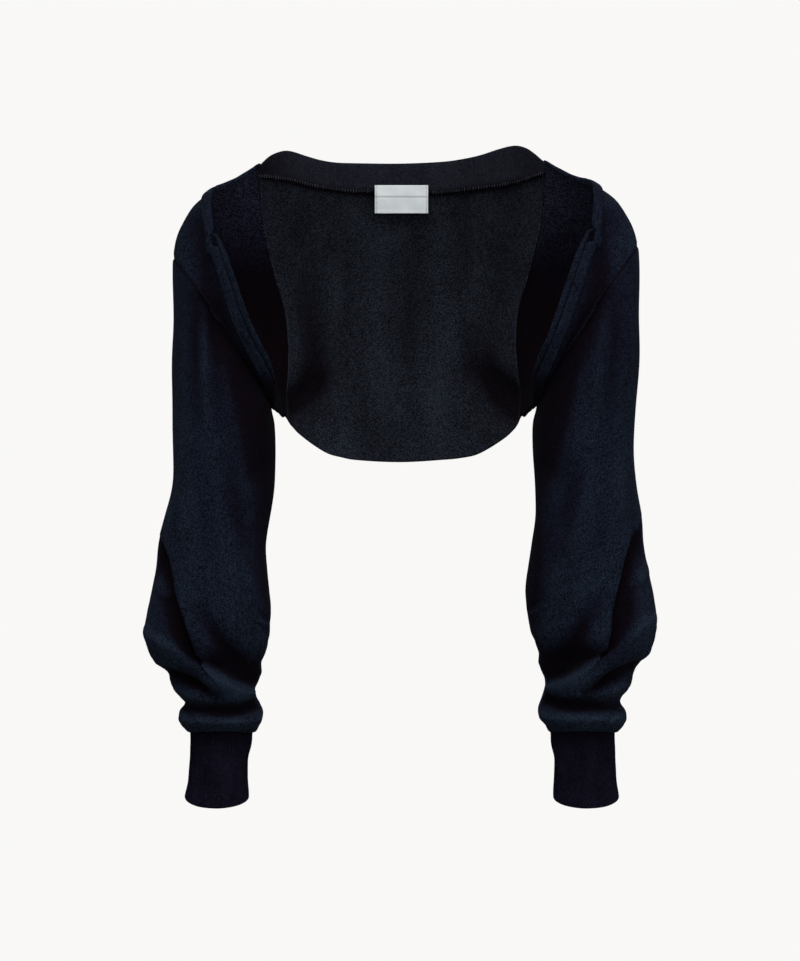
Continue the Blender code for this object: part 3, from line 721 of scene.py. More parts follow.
def added(name: str, data: bpy.types.ID) -> Thing:
    """Add an object to the scene.

    Args:
        name: the object's name.
        data: its mesh, light or camera.

    Returns:
        The new object.
    """
    thing = bpy.data.objects.new(name, data)
    bpy.context.scene.collection.objects.link(thing)
    return thing


@dataclass
class MeshParts:
    """Gathers grids and bridges of quads into one mesh."""

    points: list[Array] = field(default_factory=list)
    faces: list[Array] = field(default_factory=list)
    maps: list[Array] = field(default_factory=list)
    slots: list[Array] = field(default_factory=list)
    painted_shadings: list[Array] = field(default_factory=list)
    count: int = 0

    def add_points(self, points: Array, hollow: Array | None = None) -> Array:
        """Add points.

        Args:
            points: rows, columns, xyz.
            hollow: the painted shade on each, 1 at its darkest; below 0 a painted highlight.

        Returns:
            Their indices, in the same shape.
        """
        shape = points.shape[:-1]
        total = int(np.prod(shape))
        self.points.append(points.reshape(-1, 3))
        self.painted_shadings.append(np.zeros(total) if hollow is None else hollow.reshape(-1))
        first, self.count = self.count, self.count + total
        return np.arange(first, first + total).reshape(shape)

    def add_quads(self, index: Array, place: Array, slot: int, flip: bool) -> None:
        """Add the quads of a grid of indices.

        Args:
            index: rows, columns; a closed grid repeats its first column at the end.
            place: the cloth map at each of them, in millimetres.
            slot: which material they take.
            flip: whether they face the other way.
        """
        corners = ((slice(None, -1), slice(None, -1)), (slice(1, None), slice(None, -1)),
                   (slice(1, None), slice(1, None)), (slice(None, -1), slice(1, None)))
        faces = np.stack([index[c] for c in corners], axis=-1).reshape(-1, 4)
        maps = np.stack([place[c] for c in corners], axis=-2).reshape(-1, 4, 2)
        if flip:
            faces, maps = faces[:, ::-1], maps[:, ::-1]
        self.faces.append(faces)
        self.maps.append(maps)
        self.slots.append(np.full(len(faces), slot))

    def make(self, name: str, materials: tuple[Material, ...]) -> Thing:
        """Make the object, its faces pointing out of it.

        Args:
            name: the piece's name.
            materials: one for each slot.

        Returns:
            The new object, at the origin.
        """
        points = np.concatenate(self.points) * MM
        faces, maps = np.concatenate(self.faces), np.concatenate(self.maps) * MM
        a, b, c, d = (points[faces[:, i]] for i in range(4))
        volume = (a * (np.cross(b, c) + np.cross(c, d))).sum()
        if volume < 0:
            faces, maps = faces[:, ::-1], maps[:, ::-1]
        mesh = bpy.data.meshes.new(name)
        mesh.from_pydata(points.tolist(), [], faces.tolist())
        slots = np.concatenate(self.slots).astype(np.int32)
        mesh.polygons.foreach_set("material_index", slots)
        layer = mesh.uv_layers.new(name="cloth")
        layer.uv.foreach_set("vector", maps.astype(np.float32).ravel())
        mesh.validate()
        # painted shade and painted highlight of each point, which the finishes turn into colour
        hollow = mesh.attributes.new("hollow", "FLOAT", "POINT")
        hollow.data.foreach_set("value", np.concatenate(self.painted_shadings).astype(np.float32))
        for material in materials:
            mesh.materials.append(material)
        mesh.shade_smooth()
        return added(name, mesh)


def wrapped(grid: Array) -> Array:
    """A closed grid with its first column repeated at the end."""
    return np.concatenate((grid, grid[:, :1]), axis=1)


def cloth_map(grid: Array, closed: bool) -> Array:
    """Distances along the cloth at each point of a grid.

    Args:
        grid: rows, columns, xyz.
        closed: whether the last column is joined to the first.

    Returns:
        The distance along the rows and down the columns, with one more column if closed.
    """
    if closed:
        grid = wrapped(grid)
    middle = grid[len(grid) // 2]
    along = np.broadcast_to(walked(middle), grid.shape[:2])
    return np.stack((along, walked(grid)), axis=-1)


@dataclass
class Wall:
    """A cloth wall between an outer and an inner grid of points.

    Attributes:
        outer: rows, columns, xyz.
        inner: the same, or with fewer rows where the wall is closed.
        closed: whether the last column is joined to the first.
        hollow: the painted shade on each outer point, from 0 to 1; below 0 a painted highlight.
        inner_painted_shading: the same for the inner points.
    """

    outer: Array
    inner: Array
    closed: bool
    hollow: Array | None = None
    inner_painted_shading: Array | None = None

    def round_end(self, reach: float) -> None:
        """Round the last edge out with one more row on both grids.

        Args:
            reach: how far out it goes.
        """
        centre = (self.outer[-1] + self.inner[-1]) / 2
        way = unit(self.outer[-1] - self.outer[-2]) * reach
        for name in ("outer", "inner"):
            grid = getattr(self, name)
            row = centre + (grid[-1:] - centre) * EDGE_NARROWING + way
            setattr(self, name, np.concatenate((grid, row)))
        for name in ("hollow", "inner_painted_shading"):
            values = getattr(self, name)
            if values is not None:
                setattr(self, name, np.concatenate((values, values[-1:])))

    def make(self, name: str, outside: Material,
             inside: Material) -> Thing:
        """Make the piece.

        Args:
            name: the piece's name.
            outside: the finish of its outside and its rims.
            inside: the finish of its inside.

        Returns:
            The new object.
        """
        parts = MeshParts()
        outer = parts.add_points(self.outer, self.hollow)
        inner = parts.add_points(self.inner, self.inner_painted_shading)
        outer_map = cloth_map(self.outer, self.closed)
        inner_map = cloth_map(self.inner, self.closed)
        if self.closed:
            outer, inner = wrapped(outer), wrapped(inner)
        parts.add_quads(outer, outer_map, 0, False)
        parts.add_quads(inner, inner_map, 1, True)
        if self.closed:
            rims = [(outer[0], inner[0], outer_map[0]),
                    (outer[-1][::-1], inner[-1][::-1], outer_map[-1][::-1])]
        else:
            rims = [tuple(np.concatenate((g[0, :-1], g[:-1, -1], g[-1, :0:-1], g[::-1, 0]))
                          for g in (outer, inner, outer_map))]
        for outer_rim, inner_rim, place in rims:
            parts.add_quads(np.stack((inner_rim, outer_rim)),
                            np.stack((place + CLOTH_WALL, place)), 0, False)
        return parts.make(name, (outside, inside))


def make_strip(name: str, sections: Array, material: Material,
               hollow: Array | None = None) -> Thing:
    """Make a strip from a row of equal closed sections, closed at both ends.

    Args:
        name: the piece's name.
        sections: stations, an even number of points round the section, xyz.
        material: its finish.
        hollow: how dark the painted shade makes each point, from 0 to 1.

    Returns:
        The new object.
    """
    parts = MeshParts()
    index = parts.add_points(sections, hollow)
    along = walked(sections).mean(axis=1)
    around = walked(sections[len(sections) // 2])
    around = np.append(around, 2 * around[-1] - around[-2])
    place = together(around[None, :], along[:, None])
    parts.add_quads(wrapped(index), place, 0, False)
    for end, flip in ((0, True), (-1, False)):
        upper, lower = np.split(index[end], 2)
        corner = place[:2, :len(upper)]
        parts.add_quads(np.stack((upper, lower[::-1])), corner, 0, flip)
    return parts.make(name, (material,))


# ---- finishes

def rgba(colour: Colour) -> tuple[float, ...]:
    """A colour with full cover."""
    return (*colour, 1.0)


class Signal:
    """A value socket whose arithmetic adds Math nodes."""

    def __init__(self, graph: Graph, socket: Socket) -> None:
        """Wrap a socket."""
        self.graph = graph
        self.socket = socket

    def maths(self, operation: str, *others: Signal | float, first: bool = True) -> Signal:
        """Apply one Math node.

        Args:
            operation: the node's operation.
            others: the other terms.
            first: whether this value is the first term or the last.

        Returns:
            The result.
        """
        terms = (self, *others) if first else (*others, self)
        node = self.graph.node("ShaderNodeMath", {"operation": operation},
                               dict(enumerate(terms)))
        return Signal(self.graph, node.outputs[0])

    def __add__(self, other: Signal | float) -> Signal:
        """This value plus another."""
        return self.maths("ADD", other)

    def __radd__(self, other: Signal | float) -> Signal:
        """Another value plus this one."""
        return self.maths("ADD", other, first=False)

    def __sub__(self, other: Signal | float) -> Signal:
        """This value less another."""
        return self.maths("SUBTRACT", other)

    def __rsub__(self, other: Signal | float) -> Signal:
        """Another value less this one."""
        return self.maths("SUBTRACT", other, first=False)

    def __mul__(self, other: Signal | float) -> Signal:
        """This value times another."""
        return self.maths("MULTIPLY", other)

    def __rmul__(self, other: Signal | float) -> Signal:
        """Another value times this one."""
        return self.maths("MULTIPLY", other, first=False)

    def __truediv__(self, other: Signal | float) -> Signal:
        """This value over another."""
        return self.maths("DIVIDE", other)

    def clamped(self) -> Signal:
        """The value kept between 0 and 1."""
        return self.maths("MAXIMUM", 0.0).maths("MINIMUM", 1.0)


class Graph:
    """Adds nodes to a tree of a material or of stitches."""

    def __init__(self, tree: bpy.types.NodeTree) -> None:
        """Take a tree to add to."""
        self.tree = tree

    def node(self, kind: str, settings: dict | None = None,
             inputs: dict | None = None) -> bpy.types.Node:
        """Add a node.

        Args:
            kind: the node's type.
            settings: its properties, which are set first.
            inputs: values or links of its sockets, by name or number.

        Returns:
            The new node.
        """
        node = self.tree.nodes.new(kind)
        for name, value in (settings or {}).items():
            setattr(node, name, value)
        for name, value in (inputs or {}).items():
            if isinstance(value, Signal):
                value = value.socket
            if isinstance(value, Socket):
                self.tree.links.new(value, node.inputs[name])
            else:
                node.inputs[name].default_value = value
        return node


class MaterialGraph(Graph):
    """Builds the node tree of one material."""

    def __init__(self, name: str) -> None:
        """Start an empty material.

        Args:
            name: its name.
        """
        self.material = bpy.data.materials.new(name)
        self.material.use_nodes = True
        super().__init__(self.material.node_tree)
        self.tree.nodes.clear()

    def noise(self, where: Socket, size: float, detail: float = 2.0,
              distortion: float = 0.0) -> Signal:
        """Smooth noise.

        Args:
            where: the coordinates.
            size: how wide its patches are, in metres.
            detail: how much finer noise lies on them.
            distortion: how much it is twisted.

        Returns:
            The noise, from 0 to 1.
        """
        node = self.node("ShaderNodeTexNoise", {}, {
            "Vector": where, "Scale": 1 / size, "Detail": detail, "Roughness": 0.6,
            "Distortion": distortion})
        return Signal(self, node.outputs[0])

    def stretched(self, where: Socket, scale: Triple,
                  turn: Triple = (0.0, 0.0, 0.0)) -> Socket:
        """Turn coordinates and then scale them.

        Args:
            where: the coordinates.
            scale: along each axis.
            turn: about each axis, in radians.

        Returns:
            The new coordinates.
        """
        node = self.node("ShaderNodeMapping", {}, {"Vector": where, "Rotation": turn,
                                                   "Scale": scale})
        return node.outputs[0]

    def mix(self, share: Signal, dark: Socket | tuple, light: Socket | tuple) -> Socket:
        """Mix two colours.

        Args:
            share: how much of the second to take.
            dark: the first, a colour or a socket.
            light: the second.

        Returns:
            The mixed colour.
        """
        node = self.node("ShaderNodeMix", {"data_type": "RGBA"},
                         {0: share, 6: dark, 7: light})
        return node.outputs[2]

    def finish(self, shader: dict, height: Signal, depth: float,
               strength: float) -> Material:
        """Add the shader, with a bump, and the output.

        Args:
            shader: the Principled shader's inputs.
            height: the bump's height, from 0 to 1.
            depth: how deep it is, in metres.
            strength: how strongly it shows.

        Returns:
            The finished material.
        """
        bump = self.node("ShaderNodeBump", {}, {"Strength": strength, "Distance": depth,
                                                "Height": height})
        principled = self.node("ShaderNodeBsdfPrincipled", {},
                               {**shader, "Normal": bump.outputs[0]})
        self.node("ShaderNodeOutputMaterial", {}, {0: principled.outputs[0]})
        return self.material


@dataclass(frozen=True)
class KnitFinish:
    """Fine machine knit, on its smooth or its brushed side, or a rib.

    Sizes are in metres, and the other numbers are weights or shares.

    Attributes:
        dark: the colour in the valleys of the yarn.
        light: the colour on its crests.
        wale: width of one column of stitches.
        course: height of one row of stitches.
        grain: how strongly single yarns vary in tone; heather is the same for small patches
            and cloud for broad ones.
        fuzz: how much brushed fibre covers the stitches.
        lint: how much light lint clings to the cloth; lint_size is a speck's share of its
            room and lint_scale the number of specks in a metre.
        sheen: the soft light at grazing angles.
        gloss: how much the yarn reflects.
        mean_tone: where the usual tone lies between the two colours.
        painted_shade_tone: how much the painted shade darkens the yarn towards the bottom of a
            fold.
        painted_crest_highlight: how much lighter the painted highlight makes it on their crests.
        dusk: the colour of the painted shade half way down a fold.
        deep: the colour of the painted shade at its bottom.
    """

    name: str
    dark: Colour
    light: Colour
    wale: float = 0.0011
    course: float = 0.0009
    stitch: float = 0.3
    grain: float = 3.1
    heather: float = 0.35
    cloud: float = 0.45
    fuzz: float = 0.0
    lint: float = 0.0
    depth: float = 0.00025
    bump: float = 0.5
    sheen: float = 0.007
    sheen_tint: Colour = (0.7, 0.85, 1.0)
    gloss: float = 0.006
    roughness: float = 0.92
    mean_tone: float = 0.38
    painted_shade_tone: float = 0.3
    painted_crest_highlight: float = 0.7
    dusk: Colour = (0.0040, 0.0048, 0.0118)
    deep: Colour = (0.0025, 0.0013, 0.0018)
    lint_size: float = 0.16
    lint_colour: Colour = (0.10, 0.11, 0.13)
    lint_scale: float = 300.0

    def stitches(self, graph: MaterialGraph) -> Signal:
        """The two slanting legs of each stitch.

        Args:
            graph: the material's graph.

        Returns:
            Their height, from 0 to 1.
        """
        cloth = graph.node("ShaderNodeTexCoord").outputs["UV"]
        split = graph.node("ShaderNodeSeparateXYZ", {}, {0: cloth})
        column = (Signal(graph, split.outputs[0]) / self.wale).maths("FRACT")
        row = Signal(graph, split.outputs[1]) / self.course
        legs = (column * TURN).maths("SINE").maths("ABSOLUTE")
        slant = (column * 2 - 1).maths("ABSOLUTE") * 0.5
        loops = ((row + slant) * TURN).maths("SINE") * 0.5 + 0.5
        return legs * (0.45 + loops * 0.55)

    def fibres(self, graph: MaterialGraph, where: Socket) -> Signal:
        """Brushed fibres that lie every way.

        Args:
            graph: the material's graph.
            where: the coordinates.

        Returns:
            Their height, from 0 to 1.
        """
        total = None
        for turn in BRUSH_TURNS:
            lying = graph.stretched(where, LYING, turn)
            layer = graph.noise(lying, FIBRE_SIZE, 3.0, 0.6)
            total = layer if total is None else total.maths("MAXIMUM", layer)
        return ((total - 0.45) * 3.2).clamped()

    def make(self) -> Material:
        """Build the material.

        Returns:
            The new material.
        """
        graph = MaterialGraph(self.name)
        place = graph.node("ShaderNodeTexCoord").outputs["Object"]
        hanging = graph.stretched(place, HANGING)
        knit = self.stitches(graph)
        cells = graph.node("ShaderNodeTexVoronoi", {},
                           {"Vector": place, "Scale": 1 / GRAIN_SIZE})
        grey = graph.node("ShaderNodeRGBToBW", {}, {0: cells.outputs["Color"]})
        grain = Signal(graph, grey.outputs[0])
        heather = graph.noise(place, HEATHER_SIZE)
        cloud = graph.noise(hanging, CLOUD_SIZE, 3.0)
        relief = knit * self.stitch + grain * (1 - self.stitch)
        if self.fuzz:
            relief = relief * (1 - self.fuzz) + self.fibres(graph, place) * self.fuzz
        # painted shade from each point's attribute, and a painted highlight on crests below 0
        layer = graph.node("ShaderNodeAttribute", {"attribute_name": "hollow"})
        hollow = Signal(graph, layer.outputs["Fac"])
        crest = (hollow * -1.0).maths("MAXIMUM", 0.0)
        hollow = hollow.maths("MAXIMUM", 0.0)
        mottle = ((relief - 0.5) * self.grain + (heather - 0.5) * self.heather
                  + (cloud - 0.5) * (2 * self.cloud))
        tone = (self.mean_tone + mottle + crest * self.painted_crest_highlight
                - hollow * self.painted_shade_tone).clamped()
        colour = graph.mix(tone, rgba(self.dark), rgba(self.light))
        if self.lint:
            spots = graph.node("ShaderNodeTexVoronoi", {},
                               {"Vector": place, "Scale": self.lint_scale})
            near = Signal(graph, spots.outputs["Distance"])
            some = ((graph.noise(place, LINT_PATCH, 1.0) - 0.5) * 6).clamped()
            lint = ((self.lint_size - near) * 9).clamped() * some * self.lint
            colour = graph.mix(lint, colour, rgba(self.lint_colour))
        # mix in the painted shade colours, dusk half way down a fold and deep at its bottom
        shaded = graph.mix((1 + mottle * 0.7 - hollow).clamped(), rgba(self.deep),
                           rgba(self.dusk))
        colour = graph.mix((hollow * 1.25).clamped(), colour, shaded)
        return graph.finish({
            "Base Color": colour, "Roughness": self.roughness - relief * 0.08,
            "Sheen Weight": self.sheen, "Sheen Roughness": 0.45,
            "Sheen Tint": rgba(self.sheen_tint), "Specular IOR Level": self.gloss,
        }, relief, self.depth, self.bump)


@dataclass(frozen=True)
class SatinFinish:
    """White woven satin of a blank label."""

    name: str = "label_satin"
    dark: Colour = (0.405, 0.435, 0.445)
    light: Colour = (0.58, 0.615, 0.625)
    thread: float = 0.0005
    depth: float = 0.00008

    def make(self) -> Material:
        """Build the material.

        Returns:
            The new material.
        """
        graph = MaterialGraph(self.name)
        coordinates = graph.node("ShaderNodeTexCoord")
        place = coordinates.outputs["Object"]
        split = graph.node("ShaderNodeSeparateXYZ", {}, {0: coordinates.outputs["UV"]})
        across, down = (Signal(graph, split.outputs[i]) for i in (0, 1))
        warp = (across * (TURN / self.thread)).maths("SINE") * 0.5 + 0.5
        twill = ((across * 0.25 + down) * (TURN / self.thread / 2)).maths("SINE") * 0.5 + 0.5
        cloud = graph.noise(place, 0.012, 3.0)
        threads = graph.noise(graph.stretched(place, (1.0, 1.0, 0.06)), 0.0006, 2.0)
        height = warp * 0.4 + twill * 0.3 + threads * 0.3
        tone = (0.35 + cloud * 0.45 + (height - 0.5) * 0.35).clamped()
        return graph.finish({
            "Base Color": graph.mix(tone, rgba(self.dark), rgba(self.light)),
            "Roughness": 0.42 + cloud * 0.12, "Sheen Weight": 0.1, "Sheen Roughness": 0.3,
            "Specular IOR Level": 0.3,
        }, height, self.depth, 0.6)


@dataclass(frozen=True)
class ThreadFinish:
    """Sewing thread, twisted and a little hairy."""

    name: str
    dark: Colour
    light: Colour
    twists: float = 900.0

    def make(self) -> Material:
        """Build the material.

        Returns:
            The new material.
        """
        graph = MaterialGraph(self.name)
        place = graph.node("ShaderNodeTexCoord").outputs["Object"]
        twist = graph.node("ShaderNodeTexWave",
                           {"wave_type": "BANDS", "bands_direction": "DIAGONAL"},
                           {"Vector": place, "Scale": self.twists, "Distortion": 2.0})
        strand = Signal(graph, twist.outputs["Fac"])
        tone = (strand * 0.6 + graph.noise(place, 0.002) * 0.6 - 0.1).clamped()
        return graph.finish({
            "Base Color": graph.mix(tone, rgba(self.dark), rgba(self.light)),
            "Roughness": 0.7, "Sheen Weight": 0.03, "Sheen Roughness": 0.4,
            "Specular IOR Level": 0.1,
        }, strand, 0.0001, 0.5)


@dataclass(frozen=True)
class StageFinish:
    """Plain pale paper of the studio, lit evenly from behind."""

    name: str = "studio_paper"
    colour: Colour = (0.947, 0.939, 0.930)
    glow: float = 1.0

    def make(self) -> Material:
        """Build the material.

        Returns:
            The new material.
        """
        graph = MaterialGraph(self.name)
        principled = graph.node("ShaderNodeBsdfPrincipled", {}, {
            "Base Color": rgba((0.0, 0.0, 0.0)), "Roughness": 1.0, "Specular IOR Level": 0.0,
            "Emission Color": rgba(self.colour), "Emission Strength": self.glow})
        graph.node("ShaderNodeOutputMaterial", {}, {0: principled.outputs[0]})
        return graph.material


@dataclass
class Wardrobe:
    """The finishes that the pieces share, each made once."""

    outside: Material = field(default_factory=KnitFinish(
        "knit_outside", (0.002, 0.002, 0.004), (0.0114, 0.0178, 0.0301)).make)
    brushed: Material = field(default_factory=KnitFinish(
        "knit_brushed_inside", (0.0034, 0.0034, 0.005), (0.0166, 0.0208, 0.0298), stitch=0.1,
        fuzz=0.22, lint=0.2, depth=0.0003, grain=2.6, heather=0.2, sheen=0.008,
        sheen_tint=(0.85, 0.9, 1.0), dusk=(0.007, 0.0074, 0.0112),
        deep=(0.0026, 0.0017, 0.0026)).make)
    # the brushed inside again, with darker painted shade colours for the inside of the shoulders
    shaded: Material = field(default_factory=KnitFinish(
        "knit_brushed_shoulder", (0.0028, 0.0022, 0.005), (0.0185, 0.021, 0.037), stitch=0.1,
        grain=3.4, fuzz=0.2, lint=0.6, lint_scale=330.0, lint_size=0.26,
        lint_colour=(0.045, 0.055, 0.095), depth=0.0004, sheen=0.005,
        dusk=(0.004, 0.004, 0.01), deep=(0.0025, 0.0012, 0.0014)).make)
    rib: Material = field(default_factory=KnitFinish(
        "rib_knit", (0.0045, 0.0048, 0.0078), (0.0155, 0.0172, 0.024), stitch=0.3, grain=1.8,
        heather=0.6, cloud=0.5, lint=0.3, sheen=0.014, sheen_tint=(0.9, 0.92, 1.0),
        mean_tone=0.45, dusk=(0.0068, 0.0068, 0.0104)).make)
    cuff: Material = field(default_factory=KnitFinish(
        "rib_cuff_knit", (0.002, 0.0016, 0.0036), (0.0062, 0.006, 0.0122), stitch=0.25,
        grain=2.0, heather=0.5, cloud=1.0, lint=0.5, lint_scale=420.0, lint_size=0.2,
        lint_colour=(0.03, 0.036, 0.058), sheen=0.006, sheen_tint=(0.85, 0.8, 1.0),
        mean_tone=0.44, dusk=(0.0038, 0.0032, 0.0078)).make)
    satin: Material = field(default_factory=SatinFinish().make)
    serging: Material = field(default_factory=ThreadFinish(
        "serging_thread", (0.013, 0.016, 0.022), (0.05, 0.058, 0.07)).make)
    dark_thread: Material = field(default_factory=ThreadFinish(
        "label_thread", (0.012, 0.013, 0.02), (0.05, 0.052, 0.064)).make)


# ---- stitches

@dataclass
class StitchRun:
    """Stitches laid at equal steps along a path by a node tree.

    Attributes:
        paths: for each path its points, the way each stitch lies and the way it faces.
        pitch: the step between stitches.
        arch: how far a stitch's middle stands up.
        thread: the thread's radius.
        seed: chooses how the stitches vary.
        vary: how much their length varies, as a share.
        sway: how much their direction varies, in radians.
    """

    name: str
    paths: list[tuple[Array, Array, Array]]
    pitch: float
    length: float
    arch: float
    thread: float
    seed: int
    vary: float = 0.25
    sway: float = 0.3

    def guide(self) -> Thing:
        """Make the guide of the stitches.

        Returns:
            A mesh of the paths' edges that carries the two directions.
        """
        points = np.concatenate([path[0] for path in self.paths]) * MM
        edges, first = [], 0
        for path, _, _ in self.paths:
            index = np.arange(first, first + len(path))
            edges.append(np.stack((index[:-1], index[1:]), axis=-1))
            first += len(path)
        mesh = bpy.data.meshes.new(self.name)
        mesh.from_pydata(points.tolist(), np.concatenate(edges).tolist(), [])
        for column, name in ((1, "lies"), (2, "faces")):
            ways = np.concatenate([unit(path[column]) for path in self.paths])
            layer = mesh.attributes.new(name, "FLOAT_VECTOR", "POINT")
            layer.data.foreach_set("vector", ways.astype(np.float32).ravel())
        return added(self.name + "_guide", mesh)

    def tree(self, thread: Material) -> tuple[bpy.types.GeometryNodeTree, dict]:
        """Build the node tree that lays the stitches.

        Args:
            thread: the stitches' finish.

        Returns:
            The tree and the values of its inputs, by socket identifier.
        """
        tree = bpy.data.node_groups.new(self.name + "_tree", "GeometryNodeTree")
        face = tree.interface
        face.new_socket("Guide", in_out="INPUT", socket_type="NodeSocketGeometry")
        sizes = {"Pitch": self.pitch * MM, "Stitch Length": self.length * MM,
                 "Arch": self.arch * MM, "Thread Radius": self.thread * MM,
                 "Variation": self.vary, "Sway": self.sway}
        values = {}
        for name, value in (*sizes.items(), ("Seed", self.seed)):
            kind = "NodeSocketInt" if name == "Seed" else "NodeSocketFloat"
            socket = face.new_socket(name, in_out="INPUT", socket_type=kind)
            values[socket.identifier] = value
        face.new_socket("Stitches", in_out="OUTPUT", socket_type="NodeSocketGeometry")

        graph = Graph(tree)
        node = graph.node
        given = node("NodeGroupInput").outputs
        length, vary, sway = (Signal(graph, given[name])
                              for name in ("Stitch Length", "Variation", "Sway"))
        lies, faces = (node("GeometryNodeInputNamedAttribute", {"data_type": "FLOAT_VECTOR"},
                            {"Name": name}).outputs[0] for name in ("lies", "faces"))
        start, end = (node("ShaderNodeCombineXYZ", {}, {"X": length * share}).outputs[0]
                      for share in (-0.5, 0.5))
        middle = node("ShaderNodeCombineXYZ", {}, {"Z": given["Arch"]}).outputs[0]
        loop = node("GeometryNodeCurveQuadraticBezier", {},
                    {"Resolution": 4, "Start": start, "Middle": middle, "End": end})
        ring = node("GeometryNodeCurvePrimitiveCircle", {},
                    {"Resolution": 5, "Radius": given["Thread Radius"]})
        stitch = node("GeometryNodeCurveToMesh", {},
                      {"Curve": loop.outputs[0], "Profile Curve": ring.outputs[0],
                       "Fill Caps": True})
        curve = node("GeometryNodeMeshToCurve", {}, {"Mesh": given["Guide"]})
        steps = node("GeometryNodeResampleCurve", {"mode": "LENGTH"},
                     {"Curve": curve.outputs[0], "Length": given["Pitch"]})
        lying = node("FunctionNodeAlignRotationToVector", {"axis": "X"}, {"Vector": lies})
        facing = node("FunctionNodeAlignRotationToVector", {"axis": "Z", "pivot_axis": "X"},
                      {"Rotation": lying.outputs[0], "Vector": faces})
        swing, grown = (node("FunctionNodeRandomValue", {"data_type": "FLOAT"},
                             {2: least, 3: most, "Seed": given["Seed"]}).outputs[1]
                        for least, most in ((sway * -1.0, sway), (1.0 - vary, 1.0 + vary)))
        turn = node("ShaderNodeCombineXYZ", {}, {"Z": swing}).outputs[0]
        swayed = node("FunctionNodeRotateRotation", {"rotation_space": "LOCAL"},
                      {0: facing.outputs[0], 1: turn})
        laid = node("GeometryNodeInstanceOnPoints", {},
                    {"Points": steps.outputs[0], "Instance": stitch.outputs[0],
                     "Rotation": swayed.outputs[0], "Scale": grown})
        real = node("GeometryNodeRealizeInstances", {}, {0: laid.outputs[0]})
        coloured = node("GeometryNodeSetMaterial", {},
                        {"Geometry": real.outputs[0], "Material": thread})
        node("NodeGroupOutput", {}, {"Stitches": coloured.outputs[0]})
        return tree, values

    def make(self, thread: Material) -> Thing:
        """Lay the stitches.

        Args:
            thread: the stitches' finish.

        Returns:
            One plain mesh of them all.
        """
        guide = self.guide()
        tree, values = self.tree(thread)
        layer = guide.modifiers.new("stitches", "NODES")
        layer.node_group = tree
        for identifier, value in values.items():
            layer[identifier] = value
        depsgraph = bpy.context.evaluated_depsgraph_get()
        mesh = bpy.data.meshes.new_from_object(guide.evaluated_get(depsgraph),
                                               depsgraph=depsgraph)
        mesh.name = self.name
        bpy.data.objects.remove(guide)
        mesh.materials.clear()
        mesh.materials.append(thread)
        mesh.shade_smooth()
        return added(self.name, mesh)


# ---- folds

def folds_of(rows: tuple) -> tuple[Fold, ...]:
    """Folds from table rows: relief (3), left and right width, widening, lip, then the route."""
    return tuple(Fold(tuple(row[7:]), tuple(row[:3]), *row[3:7]) for row in rows)


# Folds on the front of each sleeve and shoulder. Each row: relief at its start, middle and end,
# width to the left and to the right, widening, lip, then the places (across, height) it passes
RIGHT_FRONT = (
    # the front panel's edge hangs over the pocket behind the elbow
    (-9, -15, -10, 15, 2.4, 1, 3.2, (241, -348), (233, -366), (225, -400), (219, -416),
     (210, -442), (206, -457), (199, -467)),
    (-2, -6.5, -5, 8, 5, 1, 0, (235, -412), (225, -430), (208, -454)),
    (3, 4.5, 2, 6, 7, 1, 0, (246, -388), (239, -397), (232, -404)),
    # the roll that runs down from the elbow to the inside of the wrist
    (4.5, 7.5, 5, 11, 4.5, 1, 0, (255, -437), (241, -443), (223, -454), (204, -469), (185, -482),
     (167, -495), (149, -502)),
    (-2, -14, -15, 3.6, 13, 1.6, -3.2, (205, -459), (180, -472), (160, -483), (139, -491)),
    (-2.5, -7, -6, 8, 8, 1.3, 0, (199, -415), (187, -435), (174, -450), (160, -466)),
    # hollows and ridges above the cuff
    (-9, -13, -5, 6.4, 5, 1, -1.6, (238, -478), (222, -482), (204, -489), (184, -500)),
    (2, 3.5, 1.5, 4.5, 4, 1, 0, (224, -496), (211, -502), (198, -507)),
    (-4.5, -11, -13, 5.2, 6, 1.35, 0, (215, -514), (196, -516), (178, -516.5), (158, -514.5),
     (139, -511)),
    (2.5, 3.8, 3, 6, 5.5, 1, 0, (222, -527), (180, -525.5), (142, -527)),
    (-1.5, -2.8, -1.5, 1.6, 2.6, 1, 0.8, (220, -512), (209, -523), (197, -536)),
    (1, 1.8, 1, 2.2, 2, 1, 0, (216, -516), (206, -527), (196, -535)),
    # soft valleys from the armhole down
    (-5, -8.5, -5, 14, 15, 1.1, 0, (203, -34), (196, -80), (186, -117), (172, -150), (159, -180),
     (152, -226), (143, -275)),
    (-2.5, -5.2, -1.5, 6, 6, 1, 0, (206, -105), (206, -155), (204, -230)),
    (1, 2.2, 0.8, 5, 5, 1, 0, (196, -118), (195, -175), (195, -240)),
    (-2, -4, -1.5, 6, 7, 1.3, 0, (188, -116), (185, -165), (180, -240)),
    (0.2, 0.8, 0.4, 7, 7, 1, 0, (219, -120), (219, -170), (216, -235)),
    (-2, -5, -2, 11, 12, 1, 0, (172, -270), (160, -320), (150, -372)),
    (-0.5, -1.3, -0.5, 3, 3, 1, 0, (226, -244), (226, -310), (224, -385)),
    (-1, -2.2, -1, 9, 9, 1.2, 0, (205, -262), (196, -320), (180, -392)),
    # the sleeve's own seam and the crumples at its lower end
    (-0.8, -0.9, -0.8, 1.4, 1.4, 1, 0, (143, -320), (142, -370), (140.5, -421)),
    (-0.8, -1.8, -0.8, 1.8, 2.4, 1, 0, (142, -417), (136, -424), (131, -431)),
    (-0.8, -1.6, -0.8, 1.8, 2.2, 1, 0, (141, -429), (136, -434), (132, -443)),
    (0.8, 1.8, 0.8, 2.2, 2.2, 1, 0, (146, -424), (138, -429), (131, -437)),
)
